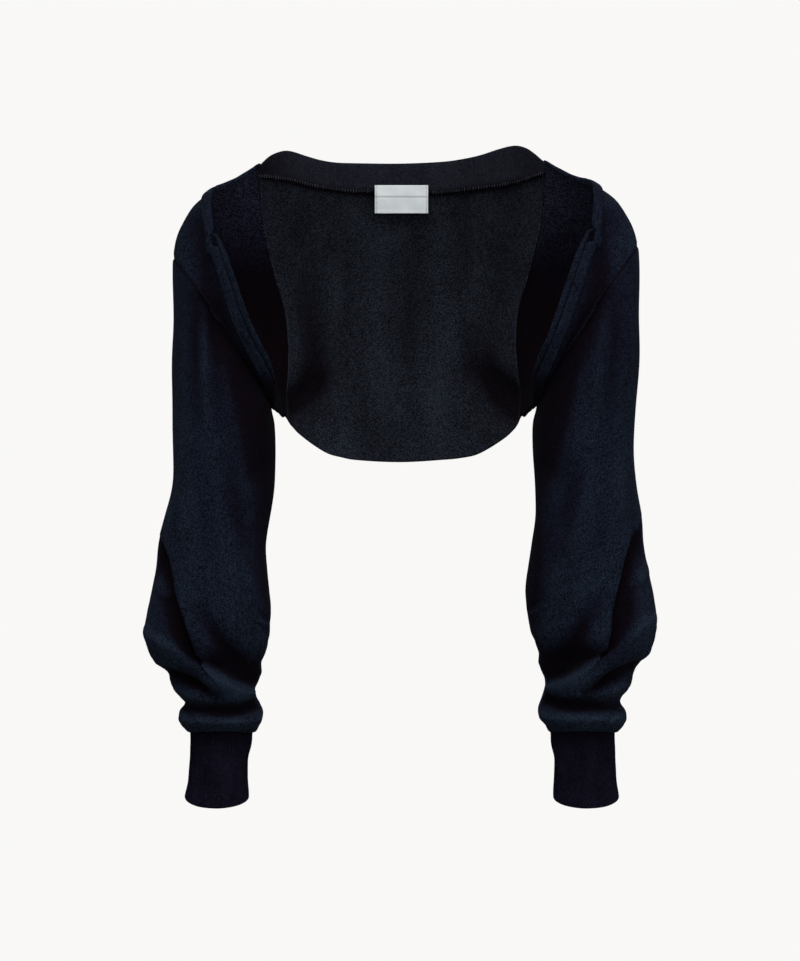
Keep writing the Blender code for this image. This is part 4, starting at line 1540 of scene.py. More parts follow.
LEFT_FRONT = (
    (-8, -15, -10, 16, 2.4, 1, 3.2, (233, -342), (224, -364), (219, -383), (213, -403),
     (209, -421), (208, -438), (206, -450), (198, -460)),
    (-2, -6.5, -5, 10, 5, 1, 0, (230, -400), (224, -420), (209, -446)),
    (3, 4.5, 2, 6, 7, 1, 0, (248, -374), (240, -382), (231, -390)),
    (4, 7, 5, 12, 4.5, 1, 0, (254, -424), (238, -430), (220, -445), (201, -463), (182, -476),
     (164, -488), (147, -496)),
    (-2, -14, -15, 3.6, 13, 1.7, -3.2, (202, -453), (180, -466), (160, -477), (136, -486)),
    (-2.5, -7, -6, 9, 9, 1.3, 0, (197, -402), (182, -424), (174, -440), (158, -462)),
    (-9, -13, -5, 6.4, 5, 1, -1.6, (236, -471), (219, -477), (201, -486), (183, -497)),
    (2, 3.5, 1.5, 4.5, 4, 1, 0, (222, -492), (210, -498), (197, -503)),
    (-4.5, -11, -13, 5.2, 6, 1.35, 0, (213, -512), (196, -512), (178, -511), (158, -509.5),
     (137, -506)),
    (2.5, 3.8, 3, 6.5, 6, 1, 0, (224, -526), (180, -523), (141, -524)),
    (-1.5, -2.8, -1.5, 1.6, 2.6, 1, 0.8, (221, -510), (209, -521), (197, -534)),
    (1, 1.8, 1, 2.2, 2, 1, 0, (217, -514), (206, -525), (196, -533)),
    (-5, -8.5, -5, 14, 15, 1.1, 0, (206, -30), (199, -76), (190, -113), (176, -148), (163, -180),
     (155, -226), (145, -275)),
    (-2, -4.2, -1.5, 7, 7, 1, 0, (212, -105), (211, -160), (208, -240)),
    (0.6, 1.8, 0.8, 7, 7, 1, 0, (196, -130), (194, -180), (194, -250)),
    (0.6, 1.6, 0.8, 7, 7, 1, 0, (226, -120), (225, -170), (223, -235)),
    (-2, -5, -2, 11, 12, 1, 0, (178, -262), (164, -312), (152, -366)),
    (-0.5, -1.2, -0.5, 3, 3, 1, 0, (229, -230), (230, -300), (227, -372)),
    (-1, -2.4, -1, 9, 9, 1.2, 0, (208, -256), (198, -312), (183, -384)),
    (-0.8, -0.9, -0.8, 1.4, 1.4, 1, 0, (138, -320), (137, -360), (135, -400)),
    (-0.8, -1.8, -0.8, 1.8, 2.4, 1, 0, (139, -404), (132, -411), (127, -419)),
    (0.8, 1.8, 0.8, 2.2, 2.2, 1, 0, (142, -412), (134, -418), (126, -425)),
)
# The same kinds of fold on the backs of the sleeves, which hang a little differently
RIGHT_BACK = (
    (-4, -10, -6, 13, 4, 1, 2, (240, -362), (228, -392), (214, -424), (200, -456), (188, -474)),
    (3.5, 6, 4, 10, 6, 1, 0, (250, -446), (226, -458), (200, -472), (172, -486), (150, -494)),
    (-2, -7.5, -7, 5, 10, 1.3, -1.5, (206, -462), (186, -474), (164, -486), (146, -495)),
    (-5, -6.5, -2, 5, 5, 1, 0, (228, -488), (208, -494), (188, -503)),
    (-4, -6.5, -5, 5, 5.5, 1, 0, (218, -514), (180, -516.5), (146, -515)),
    (2, 3, 2, 6, 6, 1, 0, (220, -527), (180, -526), (144, -528)),
    (-2.5, -5, -2, 14, 14, 1, 0, (186, -140), (176, -210), (164, -300)),
    (-1.5, -3.5, -1.5, 12, 12, 1.2, 0, (206, -230), (200, -300), (188, -380)),
    (0.8, 2.2, 0.8, 9, 9, 1, 0, (218, -200), (214, -280), (206, -350)),
    (-1, -2.5, -1, 8, 9, 1, 0, (160, -320), (170, -370), (172, -430)),
)
LEFT_BACK = (
    (-4, -10, -6, 12, 4, 1, 2, (236, -350), (226, -384), (214, -418), (202, -448), (190, -468)),
    (3.5, 6, 4, 10, 6, 1, 0, (248, -436), (224, -450), (198, -466), (170, -480), (148, -490)),
    (-2, -7.5, -7, 5, 10, 1.3, -1.5, (208, -455), (186, -467), (164, -480), (143, -490)),
    (-5, -6.5, -2, 5, 5, 1, 0, (230, -480), (210, -487), (190, -497)),
    (-4, -6.5, -5, 5, 5.5, 1, 0, (218, -510), (180, -512), (144, -511)),
    (2, 3, 2, 6, 6, 1, 0, (222, -525), (180, -523), (143, -525)),
    (-2.5, -5, -2, 14, 14, 1, 0, (192, -136), (182, -206), (170, -296)),
    (-1.5, -3.5, -1.5, 12, 12, 1.2, 0, (212, -222), (204, -292), (190, -372)),
    (0.8, 2.2, 0.8, 9, 9, 1, 0, (222, -196), (218, -272), (208, -342)),
    (-1, -2.5, -1, 8, 9, 1, 0, (158, -312), (168, -362), (172, -420)),
)
# Soft streaks of the back panel, across as x
BACK_FOLDS = (
    (-1.4, -4.2, -5, 20, 16, 1, 0, (-99, -50), (-96, -113), (-89, -154), (-90, -184), (-97, -205),
     (-107, -216), (-116, -226)),
    (1, 2.4, 2.8, 6, 7, 1, 0, (-112, -120), (-106, -160), (-108, -215)),
    (-4.5, -4.5, -2.5, 16, 14, 1, 0, (-122, -216), (-106, -211), (-80, -198)),
    (-0.8, -1.8, -1.4, 8, 9, 1, 0, (-60, -40), (-54, -120), (-58, -190)),
    (0.8, 1.6, 0.8, 11, 11, 1, 0, (-76, -40), (-68, -100), (-50, -190)),
    (0.8, 1.8, 1.4, 14, 14, 1, 0, (-28, -40), (-24, -120), (-20, -240)),
    (-0.8, -2.2, -1.2, 12, 11, 1, 0, (6, -35), (10, -110), (8, -200)),
    (0.8, 2, 1.4, 12, 14, 1, 0, (38, -45), (42, -130), (38, -240)),
    (-1, -1.8, -1.4, 10, 9, 1, 0, (66, -50), (63, -130), (68, -190)),
    (1, 1.6, 0.8, 10, 10, 1, 0, (80, -50), (72, -95), (54, -170)),
    (-1.4, -4.2, -5, 16, 22, 1, 0, (104, -55), (97, -113), (88, -150), (91, -184), (102, -203),
     (111, -214), (120, -223)),
    (-2, -4, -4, 15, 15, 1, 0, (80, -186), (106, -207), (124, -215)),
)


@dataclass(frozen=True)
class Creases:
    """All the folds that lie on one face of the cloth."""

    front: tuple[Fold, ...]
    back: tuple[Fold, ...]
    side_growth: float = 2.8
    painted_shading_growth: float = 6.0

    def at(self, points: Array, facing: Array) -> tuple[Array, Array, Array]:
        """The folds' effect on each point.

        Args:
            points: rows, columns and across, depth, height.
            facing: 1 on the front, -1 on the back, less near the two sides.

        Returns:
            The relief, how far the cloth hangs over (across, height), and the relief that
            the painted shade follows, which fades only at the very sides.
        """
        whole = np.zeros(points.shape[:-1])
        relief = np.zeros(points.shape[:-1])
        hang = np.zeros((*points.shape[:-1], 2))
        for folds, sign in ((self.front, 1.0), (self.back, -1.0)):
            here = facing * sign > 0
            fade = np.minimum(np.abs(facing[here]) * self.side_growth, 1.0)
            painted_shading_fade = np.minimum(np.abs(facing[here]) * self.painted_shading_growth, 1.0)
            for fold in folds:
                out, over = fold.at(points[here][:, 0], points[here][:, 2])
                whole[here] += out * painted_shading_fade
                relief[here] += out * fade
                hang[here] += over * fade[:, None]
        return relief, hang, whole


CREASES = {"right": Creases(folds_of(RIGHT_FRONT), folds_of(RIGHT_BACK)),
           "left": Creases(folds_of(LEFT_FRONT), folds_of(LEFT_BACK))}


# ---- what a piece was cut to, and how it takes its node's place

class Held(Enum):
    """How a cut piece of cloth is held in its shape."""

    HUNG = "hung"
    GATHERED = "gathered"
    FOLDED = "folded"
    STRETCHED = "stretched"
    LAID = "laid"


@dataclass(frozen=True)
class Cut:
    """What a piece was cut to before it was sewn.

    Attributes:
        flat: width and length, in metres.
        held: how it is held.
        rests_on: the nodes that it is sewn to or lies on.
        area: its area in square metres where it isn't a rectangle.
    """

    flat: Pair
    held: Held
    rests_on: tuple[str, ...]
    area: float | None = None


def dress(piece: Thing, node: str, cut: Cut,
          sewing: tuple[Thing, ...] = ()) -> None:
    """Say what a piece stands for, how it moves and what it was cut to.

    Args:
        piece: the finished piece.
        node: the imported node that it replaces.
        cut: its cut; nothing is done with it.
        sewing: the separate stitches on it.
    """
    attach(piece, BODY)
    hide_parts(node)
    for stitches in sewing:
        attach(stitches, BODY)
    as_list(cut.rests_on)
    LOG.info("%s stands for %s, %d faces", piece.name, node, len(piece.data.polygons))


def dipped(distance: Array) -> Array:
    """How far the cloth turns in near a seam, by the distance from it."""
    return SEAM_DIP * bell(distance / SEAM_DIP_REACH)


def loosened(distance: Array) -> Array:
    """How free the cloth is to fold, by the distance from a seam."""
    return ease(distance / SEAM_HOLD + SEAM_FREE)


def shaded(hollow: Array, *layers: Array) -> Array:
    """Lay more painted shade over painted shade.

    Args:
        hollow: the painted shade, 1 at its darkest.
        layers: more painted shade, from 0 to 1.

    Returns:
        The darker painted shade.
    """
    for layer in layers:
        hollow = hollow + layer * (1 - hollow)
    return hollow


def underarm_painted_shade(height: Array) -> Array:
    """How dark the painted shade makes the cloth where it turns in under the arm."""
    return UNDERARM_DARK * ease((UNDERARM_TOP - height) / UNDERARM_FADE)


def seam_edge(grid: Array, way: Array, distance: float) -> None:
    """Move one edge of a grid along the cloth, in place."""
    grid += unit(way - grid) * distance


# ---- the pieces

@dataclass
class Piece(ABC):
    """A sub-assembly of the garment.

    In the sizes of the pieces a pair is the start and the length of a step, and a triple is
    the place, the reach and the height of a bump.
    """

    finishes: Wardrobe

    @abstractmethod
    def make(self) -> None:
        """Build the meshes and say what they stand for."""


@dataclass
class SidePiece(Piece):
    """A sub-assembly that each side has."""

    side: Side


@dataclass
class BackPanel(Piece):
    """The back, from the neck seam to the curved hem, with its inside showing."""

    rows: int = 150
    columns: int = 190
    hem_round: float = 0.9
    slack: Ripples = Ripples(11, 46.0, 0.55, (1.0, 1.0, 2.2))
    label_margin: float = 3.0
    label_fade: float = 16.0
    seam_hold: float = 14.0
    folds_grow: Pair = (0.06, 0.2)
    # painted shade in folds and under the neckband, painted highlight on crests and lower seam
    # edges
    fold_depth: float = 6.2
    painted_crest_highlight: float = 0.3
    neck_shade: float = 0.97
    neck_shade_reach: float = 2.4
    lower_part: Pair = (0.45, 0.15)
    seam_painted_shade: float = 0.5
    low_seam_painted_highlight: float = -0.7
    seam_painted_shading_reach: float = 1.4
    serge_in: float = 1.3
    serge_pitch: float = 2.1
    serge_share: float = 0.46

    def grids(self) -> tuple[Array, Array, Array]:
        """The panel with its seams, folds and slack.

        Returns:
            Outer points, outward normals and painted shade.
        """
        places = np.linspace(BACK_TOP_AT, 1, self.rows)
        across = np.linspace(-1, 1, self.columns)
        grid = back_points(across[None, :], places[:, None])
        normals = grid_normals(grid, False, (self.rows // 2, self.columns // 2, 1))
        for side, end, beside in ((SIDES[0], 0, 1), (SIDES[1], -1, -2)):
            normals[:, end] = side.placed(side.seam_normals(places))
            grid[:, end] += unit(grid[:, beside] - grid[:, end]) * SEAM_GAP / 2
        from_side = np.minimum(walked(grid.transpose(1, 0, 2)).T,
                               walked(grid[:, ::-1].transpose(1, 0, 2)).T[:, ::-1])
        beside = np.abs(grid[..., 0]) - LABEL_WIDTH / 2
        clear = np.maximum(ramp(beside, self.label_margin, self.label_fade),
                           ramp(LABEL_BOTTOM - grid[..., 2], self.label_margin, self.label_fade))
        inward = ease(from_side / self.seam_hold) * clear
        whole = self.slack.at(grid)
        for fold in folds_of(BACK_FOLDS):
            out, _ = fold.at(grid[..., 0], grid[..., 2])
            whole -= out * ramp(places[:, None], *self.folds_grow)
        relief = whole * inward
        # painted shadow under the neckband's serged edge
        edge = read_at(NECKBAND, grid[0, :, 0])[:, 3]
        under = bump(edge - grid[..., 2], 1.0, self.neck_shade_reach, self.neck_shade)
        # painted shade in the folds and a painted highlight on their crests
        hollow = shaded(np.clip(whole / self.fold_depth, -self.painted_crest_highlight, 1), under)
        # painted shade along the seams up high, and a painted highlight on their edges lower down
        low = ramp(places[:, None], *self.lower_part)
        tone = self.seam_painted_shade * (1 - low) + self.low_seam_painted_highlight * low
        hollow += bell(from_side / self.seam_painted_shading_reach) * tone
        return grid + normals * relief[..., None], normals, hollow

    def make(self) -> None:
        outer, normals, hollow = self.grids()
        inner = outer - normals * CLOTH_WALL
        for end, beside in ((0, 1), (-1, -2)):
            lap = unit(inner[:, end] - inner[:, beside]) * SEAM_LAP - normals[:, end] * 0.5
            inner[:, end] += lap
        # painted shade on the inside, a fifth of it on the outside
        wall = Wall(outer, inner, False, hollow * 0.2, hollow)
        wall.round_end(self.hem_round)
        panel = wall.make("back_panel", self.finishes.outside, self.finishes.brushed)
        paths = []
        for end, beside in ((0, 4), (-1, -5)):
            edge, inside = wall.inner[:-1, end], wall.inner[:-1, beside]
            into = unit(inside - edge)
            place = edge + into * self.serge_in - normals[:, end] * 0.25
            lies = into + unit(np.gradient(edge, axis=0)) * 0.35
            shown = slice(3, int(self.rows * self.serge_share))
            paths.append((place[shown], lies[shown], -normals[shown, end]))
        serging = StitchRun("back_serging", paths, self.serge_pitch, length=2.4, arch=0.35,
                            thread=0.17, seed=5, vary=0.45, sway=0.6)
        dress(panel, "back",
              Cut((0.314, 0.284), Held.HUNG, ("neckband", "shoulder_right", "shoulder_left"),
                  0.073), (serging.make(self.finishes.serging),))


@dataclass
class Neckband(Piece):
    """The folded rib band round the back of the neck, with its serged lower edge."""

    stations: int = 900
    rib_pitch: float = 2.2
    rib_relief: float = 0.22
    face_steps: int = 9
    upright: float = 0.25
    puff: float = 0.5
    serged_edge: float = 0.35
    wave: Ripples = Ripples(21, 40.0, 0.35)
    right_end: Pair = (90.0, 50.0)
    right_shade: float = 0.62
    left_end: Pair = (95.0, 50.0)
    left_shade: float = 0.34
    row_shades: tuple[Pair, ...] = ((0, 0.75), (1, 0.45), (-1, 0.9))
    serge_pitch: float = 2.9
    serge_every: int = 6

    def sections(self) -> tuple[Array, Array]:
        """The band along the neck.

        Returns:
            Its closed sections, and the way out of each.
        """
        places = np.linspace(0, 1, self.stations)
        rows = read_rows(NECKBAND, places)
        across, depth, top, low = (rows[:, i] for i in range(4))
        run = neck_run(across)
        out = together(-run[:, 1], run[:, 0], 0)
        line = together(across, depth, 0)
        rib = self.rib_relief * np.cos(walked(line) * (TURN / self.rib_pitch))
        low = low + self.wave.at(line)
        seam = low + NECK_ALLOWANCE
        share = np.linspace(0, 1, self.face_steps)[None, :]
        rise = np.clip((share - self.upright) / (1 - self.upright), 0, 1)
        crown = (top - NECK_ROUND - low)[:, None]
        puff = self.puff * np.sin(math.pi * share)
        face = together(-NECK_LEAN * rise - puff - rib[:, None] * ease(share * 6),
                        low[:, None] + crown * share)
        spine = NECKBAND_THICK - NECK_LEAN
        turns = np.radians(np.linspace(160, 20, 5))[None, :]
        middle, half = (spine - NECK_LEAN) / 2, (spine + NECK_LEAN) / 2
        crest = together(middle + half * np.cos(turns),
                         (top - NECK_ROUND)[:, None] + NECK_ROUND * np.sin(turns))
        down = np.linspace(0, 1, 7)[None, :]
        fall = (top - NECK_ROUND - seam - SEAM_GAP)[:, None]
        rear = together(spine + (NECKBAND_THICK - spine) * down + rib[:, None],
                        (top - NECK_ROUND)[:, None] - fall * down)
        flange = together(NECK_FLANGE_THICK - np.array((0.0, 0.5)),
                          np.stack((seam, low), axis=-1))
        tail = together(NECK_FLANGE_THICK / 2, (low - self.serged_edge)[:, None])
        profile = np.concatenate((face, crest, rear, flange, tail), axis=1)
        sections = line[:, None, :] + out[:, None, :] * profile[..., :1]
        sections[..., 2] = profile[..., 1]
        sections[0, :, 0] = NECKBAND[0][0] - NECK_LAP
        sections[-1, :, 0] = NECKBAND[-1][0] + NECK_LAP
        return sections, out

    def make(self) -> None:
        sections, out = self.sections()
        x = sections[..., 0]
        hollow = (ramp(-x, *self.right_end) * self.right_shade
                  + ramp(x, *self.left_end) * self.left_shade)
        for row, least in self.row_shades:
            hollow[:, row] = np.maximum(hollow[:, row], least)
        band = make_strip("rib_neckband", sections, self.finishes.rib, hollow)
        out = out[::self.serge_every]
        edge = sections[::self.serge_every, 0] - out * 0.25 + (0.0, 0.0, 1.2)
        run = unit(np.gradient(edge, axis=0))
        lies = run * 0.45 + (0.0, 0.0, 1.0)
        clear = np.abs(edge[:, 0]) > LABEL_WIDTH / 2 + 1
        paths = [(edge[part], lies[part], -out[part])
                 for part in (clear & (edge[:, 0] < 0), clear & (edge[:, 0] > 0))]
        serging = StitchRun("neckband_serging", paths, self.serge_pitch, length=2.5, arch=0.5,
                            thread=0.24, seed=3, vary=0.35, sway=0.4)
        dress(band, "neckband", Cut((0.33, 0.034), Held.FOLDED, ("back",)),
              (serging.make(self.finishes.serging),))


@dataclass
class Label(Piece):
    """The blank woven label over the neck seam, with its end stitches."""

    rows: int = 46
    columns: int = 56
    lift: float = 0.9
    flatness: float = 0.85
    end_turn: float = 0.45
    end_reach: float = 1.6
    step: float = 0.55
    step_length: float = 0.9
    crease: float = 0.45
    crease_reach: float = 0.7
    bow: Ripples = Ripples(31, 22.0, 0.22)
    stitch_pitch: float = 1.9

    def front(self) -> Array:
        """The face behind the label's thickness.

        Returns:
            Its points, down and across.
        """
        heights = np.linspace(LABEL_TOP, LABEL_BOTTOM, self.rows)[:, None]
        across = np.linspace(-0.5, 0.5, self.columns)[None, :] * LABEL_WIDTH
        heights, across = np.broadcast_arrays(heights, across)
        rows = read_at(NECKBAND, across)
        seam = rows[..., 3] + NECK_ALLOWANCE
        lean = NECK_LEAN * np.maximum(heights - seam, 0) / (rows[..., 2] - seam)
        share = np.clip((rows[..., 3] - NECK_ROUND - heights) / LABEL_EASE, 0, 1)
        panel = self.panel_depth(across, heights) - CLOTH_WALL - LABEL_SEAT
        resting = (1 - share) * (rows[..., 1] - lean - LABEL_SEAT) + share * panel
        depth = np.minimum(resting, panel) - self.lift
        depth = depth + (depth[:1] - depth) * self.flatness
        ends = bump(np.abs(across), LABEL_WIDTH / 2, self.end_reach)
        step = self.step * ease((LABEL_STEP_AT - heights) / self.step_length)
        crease = bump(heights, LABEL_STEP_AT, self.crease_reach, self.crease)
        points = together(across, depth + ends * self.end_turn + step + crease, heights)
        points[..., 1] += self.bow.at(points) * (1 - ends)
        return points

    @staticmethod
    def panel_depth(across: Array, heights: Array) -> Array:
        """The back's outside behind the label.

        Args:
            across: places on the label.
            heights: their heights.

        Returns:
            Its depth at each.
        """
        share = across / BACK_SEAM[1][1]
        low = np.full(across.shape, BACK_TOP_AT)
        high = np.ones(across.shape)
        for _ in range(HALVINGS):
            middle = (low + high) / 2
            above = back_points(share, middle)[..., 2] > heights
            low, high = np.where(above, middle, low), np.where(above, high, middle)
        return back_points(share, low)[..., 1]

    def make(self) -> None:
        outer = self.front()
        inner = outer - (0.0, LABEL_THICK, 0.0)
        satin = self.finishes.satin
        label = Wall(outer, inner, False).make("blank_label", satin, satin)
        lines = [inner[1:-1, column] - (0.0, 0.12, 0.0) for column in (2, -3)]
        paths = [(line, np.broadcast_to((0.0, 0.0, 1.0), line.shape),
                  np.broadcast_to((0.0, -1.0, 0.0), line.shape)) for line in lines]
        stitches = StitchRun("label_stitches", paths, self.stitch_pitch, length=1.5, arch=0.22,
                             thread=0.14, seed=7, vary=0.3, sway=0.15)
        dress(label, "label", Cut((0.054, 0.029), Held.LAID, ("neckband", "back")),
              (stitches.make(self.finishes.dark_thread),))


@dataclass
class ShoulderPiece(SidePiece):
    """The ring of cloth round the armhole, from the back seam to the free front edge."""

    rows: int = 34
    free_columns: int = 150
    seam_columns: int = 80
    slack: Ripples = Ripples(41, 34.0, 0.5)
    edge_hold: float = 16.0
    band_hold: float = 6.0
    ridge: Triple = (4.2, 1.7, 0.9)
    groove: Triple = (0.9, 1.3, 0.9)
    ridge_grows: Pair = (0.24, 0.1)
    band_shade: Triple = (0.7, 1.5, 0.8)
    shade_from: float = 10.0
    shade_reach: float = 136.0
    sag: Triple = (0.88, 0.09, 5.0)
    lip_from: float = 0.018
    lip_until: float = 0.20
    lip_fade: float = 0.035
    lip_ahead: float = 1.4
    lip_rise: float = 2.6
    corner_rows: float = 7.0
    corner_reach: float = 15.0
    corner_passes: int = 120

    def places(self) -> list[tuple[tuple, Array]]:
        """The places round the piece.

        Returns:
            Each edge with its places: down the free edge, then up the back seam.
        """
        free = np.linspace(0, 1, self.free_columns)
        seam = np.linspace(1, BACK_TOP_AT, self.seam_columns)[1:]
        return [(FREE_EDGE, free), (BACK_SEAM, seam)]

    def eased(self, grid: Array) -> Array:
        """Round off the ridge that would run from the neckband's corner to the armhole.

        Args:
            grid: the outer points.

        Returns:
            The eased points.
        """
        count = grid.shape[1]
        step = np.arange(count)
        away = np.minimum(step, count - step)
        share = ease(np.arange(self.rows) / self.corner_rows)[:, None]
        hold = (share * bell(away / self.corner_reach)[None])[..., None]
        hold[-1] = 0
        for _ in range(self.corner_passes):
            mean = (np.roll(grid, 1, axis=1) + np.roll(grid, -1, axis=1)) / 2
            grid = grid + (mean - grid) * hold
        return grid

    def grids(self) -> tuple[Array, Array]:
        """The cloth before its seams are set back.

        Returns:
            Outer points and outward normals.
        """
        columns, angles = [], []
        for table, places in self.places():
            start = np.zeros(len(places))
            if table is FREE_EDGE:
                start = self.side.share_for(table, places, self.side.gape(places))
            shares = start + (1 - start) * np.linspace(0, 1, self.rows)[:, None]
            columns.append(self.side.shoulder(table, places[None], shares))
            angles.append(self.side.edge(table, places)[1])
        grid = self.eased(np.concatenate(columns, axis=1))
        normals = grid_normals(grid, True, (-1, 0, 0))
        _, outward = self.side.armhole(np.concatenate(angles))
        normals[-1] = unit(outward + ARMHOLE_SLOPE_KEPT * normals[-1])
        seam = self.places()[1][1]
        normals[0, self.free_columns:] = self.side.seam_normals(seam)
        normals[0, self.free_columns - 1] = self.side.seam_normals(np.array([1.0]))[0]
        return grid, normals

    def make(self) -> None:
        grid, normals = self.grids()
        seam_edge(grid[-1], grid[-2], SEAM_GAP / 2)
        sewn = np.r_[0, self.free_columns - 1:grid.shape[1]]
        grid[0, sewn] += unit(grid[1, sewn] - grid[0, sewn]) * SEAM_GAP / 2
        from_edge = walked(grid)
        from_hole = from_edge[-1] - from_edge
        facing = -normals[..., 1]
        relief, hang, whole = CREASES[self.side.name].at(grid, facing)
        round_it = np.arange(grid.shape[1]) / (self.free_columns - 1)
        on_band = np.zeros(grid.shape[1])
        on_band[:self.free_columns] = 1.0
        beside = from_edge - BAND_WIDTH
        held = self.band_hold * on_band
        inward = ease((from_edge - held) / (self.edge_hold - held)) * loosened(from_hole)
        relief = (relief + self.slack.at(grid)) * inward
        ridge = bump(beside, *self.ridge) - bump(beside, *self.groove)
        ridge = ridge * ramp(round_it, *self.ridge_grows)
        outer = grid + normals * (relief + ridge * on_band - dipped(from_hole))[..., None]
        outer[..., ::2] += hang * inward[..., None]
        # painted shade in folds, at the armhole seam and beside the band; painted highlight on
        # crests
        hollow = shaded(np.clip(-whole * inward / SHADE_DEPTH, -PAINTED_CREST_HIGHLIGHT, 1),
                        bell(from_hole / SEAM_SHADE), bump(beside, *self.band_shade) * on_band)
        inner = grid + normals * (np.minimum(relief, 0) - CLOTH_WALL)[..., None]
        sag = bump(round_it, *self.sag) * np.sin(math.pi * from_edge / from_edge[-1])
        raised = np.zeros(grid.shape[1])
        free = np.linspace(0, 1, self.free_columns)
        raised[:self.free_columns] = ease(free / self.lip_from + 0.2) * (
            1 - ramp(free, self.lip_until, self.lip_fade))
        ahead = unit(grid[0] - grid[1])
        lip = (ahead * self.lip_ahead + normals[0] * self.lip_rise) * raised[:, None]
        inner[0] += lip + normals[0] * (CLOTH_WALL * raised)[:, None]
        outer[0] += lip
        outer[..., 2] -= sag
        inner[..., 2] -= sag
        # painted shade under the arm, in front of the back
        ahead_of_back = ease((UNDERARM_BACK - grid[..., 1]) / UNDERARM_FADE)
        hollow = np.maximum(hollow, underarm_painted_shade(grid[..., 2]) * ahead_of_back)
        # painted shade on the inside, darker towards the bottom
        deep = ease((self.shade_from - grid[..., 2]) / self.shade_reach)
        piece = Wall(self.side.placed(outer), self.side.placed(inner), True, hollow, deep).make(
            f"shoulder_cloth_{self.side.name}", self.finishes.outside, self.finishes.shaded)
        dress(piece, f"shoulder_{self.side.name}",
              Cut((0.70, 0.13), Held.STRETCHED,
                  ("back", "neckband", f"sleeve_{self.side.name}"), 0.030))


@dataclass
class EdgeStrips(SidePiece):
    """The front band and the turning inside it, along the free edge."""

    stations: int = 260
    around: int = 18
    wave: Ripples = Ripples(51, 30.0, 0.25)
    stretch: float = 0.12
    next_share: float = 0.08
    band_end: float = 1 - 1 / 60
    shade: float = 0.2

    def frames(self, places: Array) -> tuple[Array, ...]:
        """Stations along the free edge.

        Args:
            places: places along it.

        Returns:
            The edge, the points beside the band, both normals and the way in.
        """
        drawn = self.side.gape(places)
        start = self.side.share_for(FREE_EDGE, places, drawn)
        beside = self.side.share_for(FREE_EDGE, places, BAND_WIDTH + drawn * self.stretch)
        shares = np.stack((start, beside, beside + self.next_share))
        grid = self.side.shoulder(FREE_EDGE, places[None], shares)
        normals = grid_normals(grid, False, (1, len(places) // 3, 0))
        return grid[0], grid[1], normals[0], normals[1], unit(grid[1] - grid[0])

    def band(self) -> Array:
        """The front band.

        Returns:
            Its closed sections.
        """
        places = np.linspace(0, self.band_end, self.stations)
        edge, beside, edge_normal, beside_normal, way = self.frames(places)
        profile = read_rows(BAND_PROFILE, np.linspace(0, 1, self.around))
        share, rise = profile[:, 0][None, :, None], profile[:, 1][None, :, None]
        start = edge - way * BAND_OVERHANG
        end = beside - way * SEAM_GAP
        base = start[:, None] + (end - start)[:, None] * share
        normal = unit(edge_normal[:, None] * (1 - share) + beside_normal[:, None] * share)
        lift = self.wave.at(edge)[:, None, None] * (rise > 0.5)
        return base + normal * (BAND_SEAT + rise + lift)

    def turning(self) -> Array:
        """The turning.

        Returns:
            Its closed sections.
        """
        share = np.linspace(0, 1, self.stations)
        places = TURNING_REACH[0] + (TURNING_REACH[1] - TURNING_REACH[0]) * share
        edge, _, normal, _, way = self.frames(places)
        edge = edge - way * self.side.gape(places)[:, None]
        shown = ramp(places, TURNING_SHOWS[0], TURNING_SHOWS[1] - TURNING_SHOWS[0])
        edge = edge + way * ((1 - shown) * TURNING_TUCK)[:, None]
        grown = (ramp(places, TURNING_SHOWS[0], TURNING_GROWS)
                 * ease((1 - share) / TURNING_END + 0.1))
        width = TURNING_WIDTH * (TURNING_TIP + (1 - TURNING_TIP) * grown)
        profile = read_rows(TURNING_PROFILE + (TURNING_PROFILE[0],),
                            np.linspace(0, 1, self.around + 1)[:-1])
        start = edge - way * TURNING_OVERHANG
        shares = profile[:, 0]
        reach = np.maximum(shares, 0) * width[:, None] + np.minimum(shares, 0) * TURNING_WIDTH
        across = way[:, None] * reach[..., None]
        rise = profile[None, :, 1, None] * TURNING_THICK - TURNING_SEAT
        return start[:, None] - across + normal[:, None] * rise

    def make(self) -> None:
        """Build both strips and put them in place of their nodes."""
        name = self.side.name
        for sections, piece, node, cut in (
                (self.band(), "front_band_cloth", "front_band",
                 Cut((0.0115, 0.412), Held.FOLDED, (f"shoulder_{name}",))),
                (self.turning(), "turning_cloth", "band_turning",
                 Cut((0.010, 0.262), Held.FOLDED, (f"front_band_{name}",), 0.00195))):
            hollow = np.maximum(underarm_painted_shade(sections[..., 2]), self.shade)
            strip = make_strip(f"{piece}_{name}", self.side.placed(sections),
                               self.finishes.outside, hollow)
            dress(strip, f"{node}_{name}", cut)


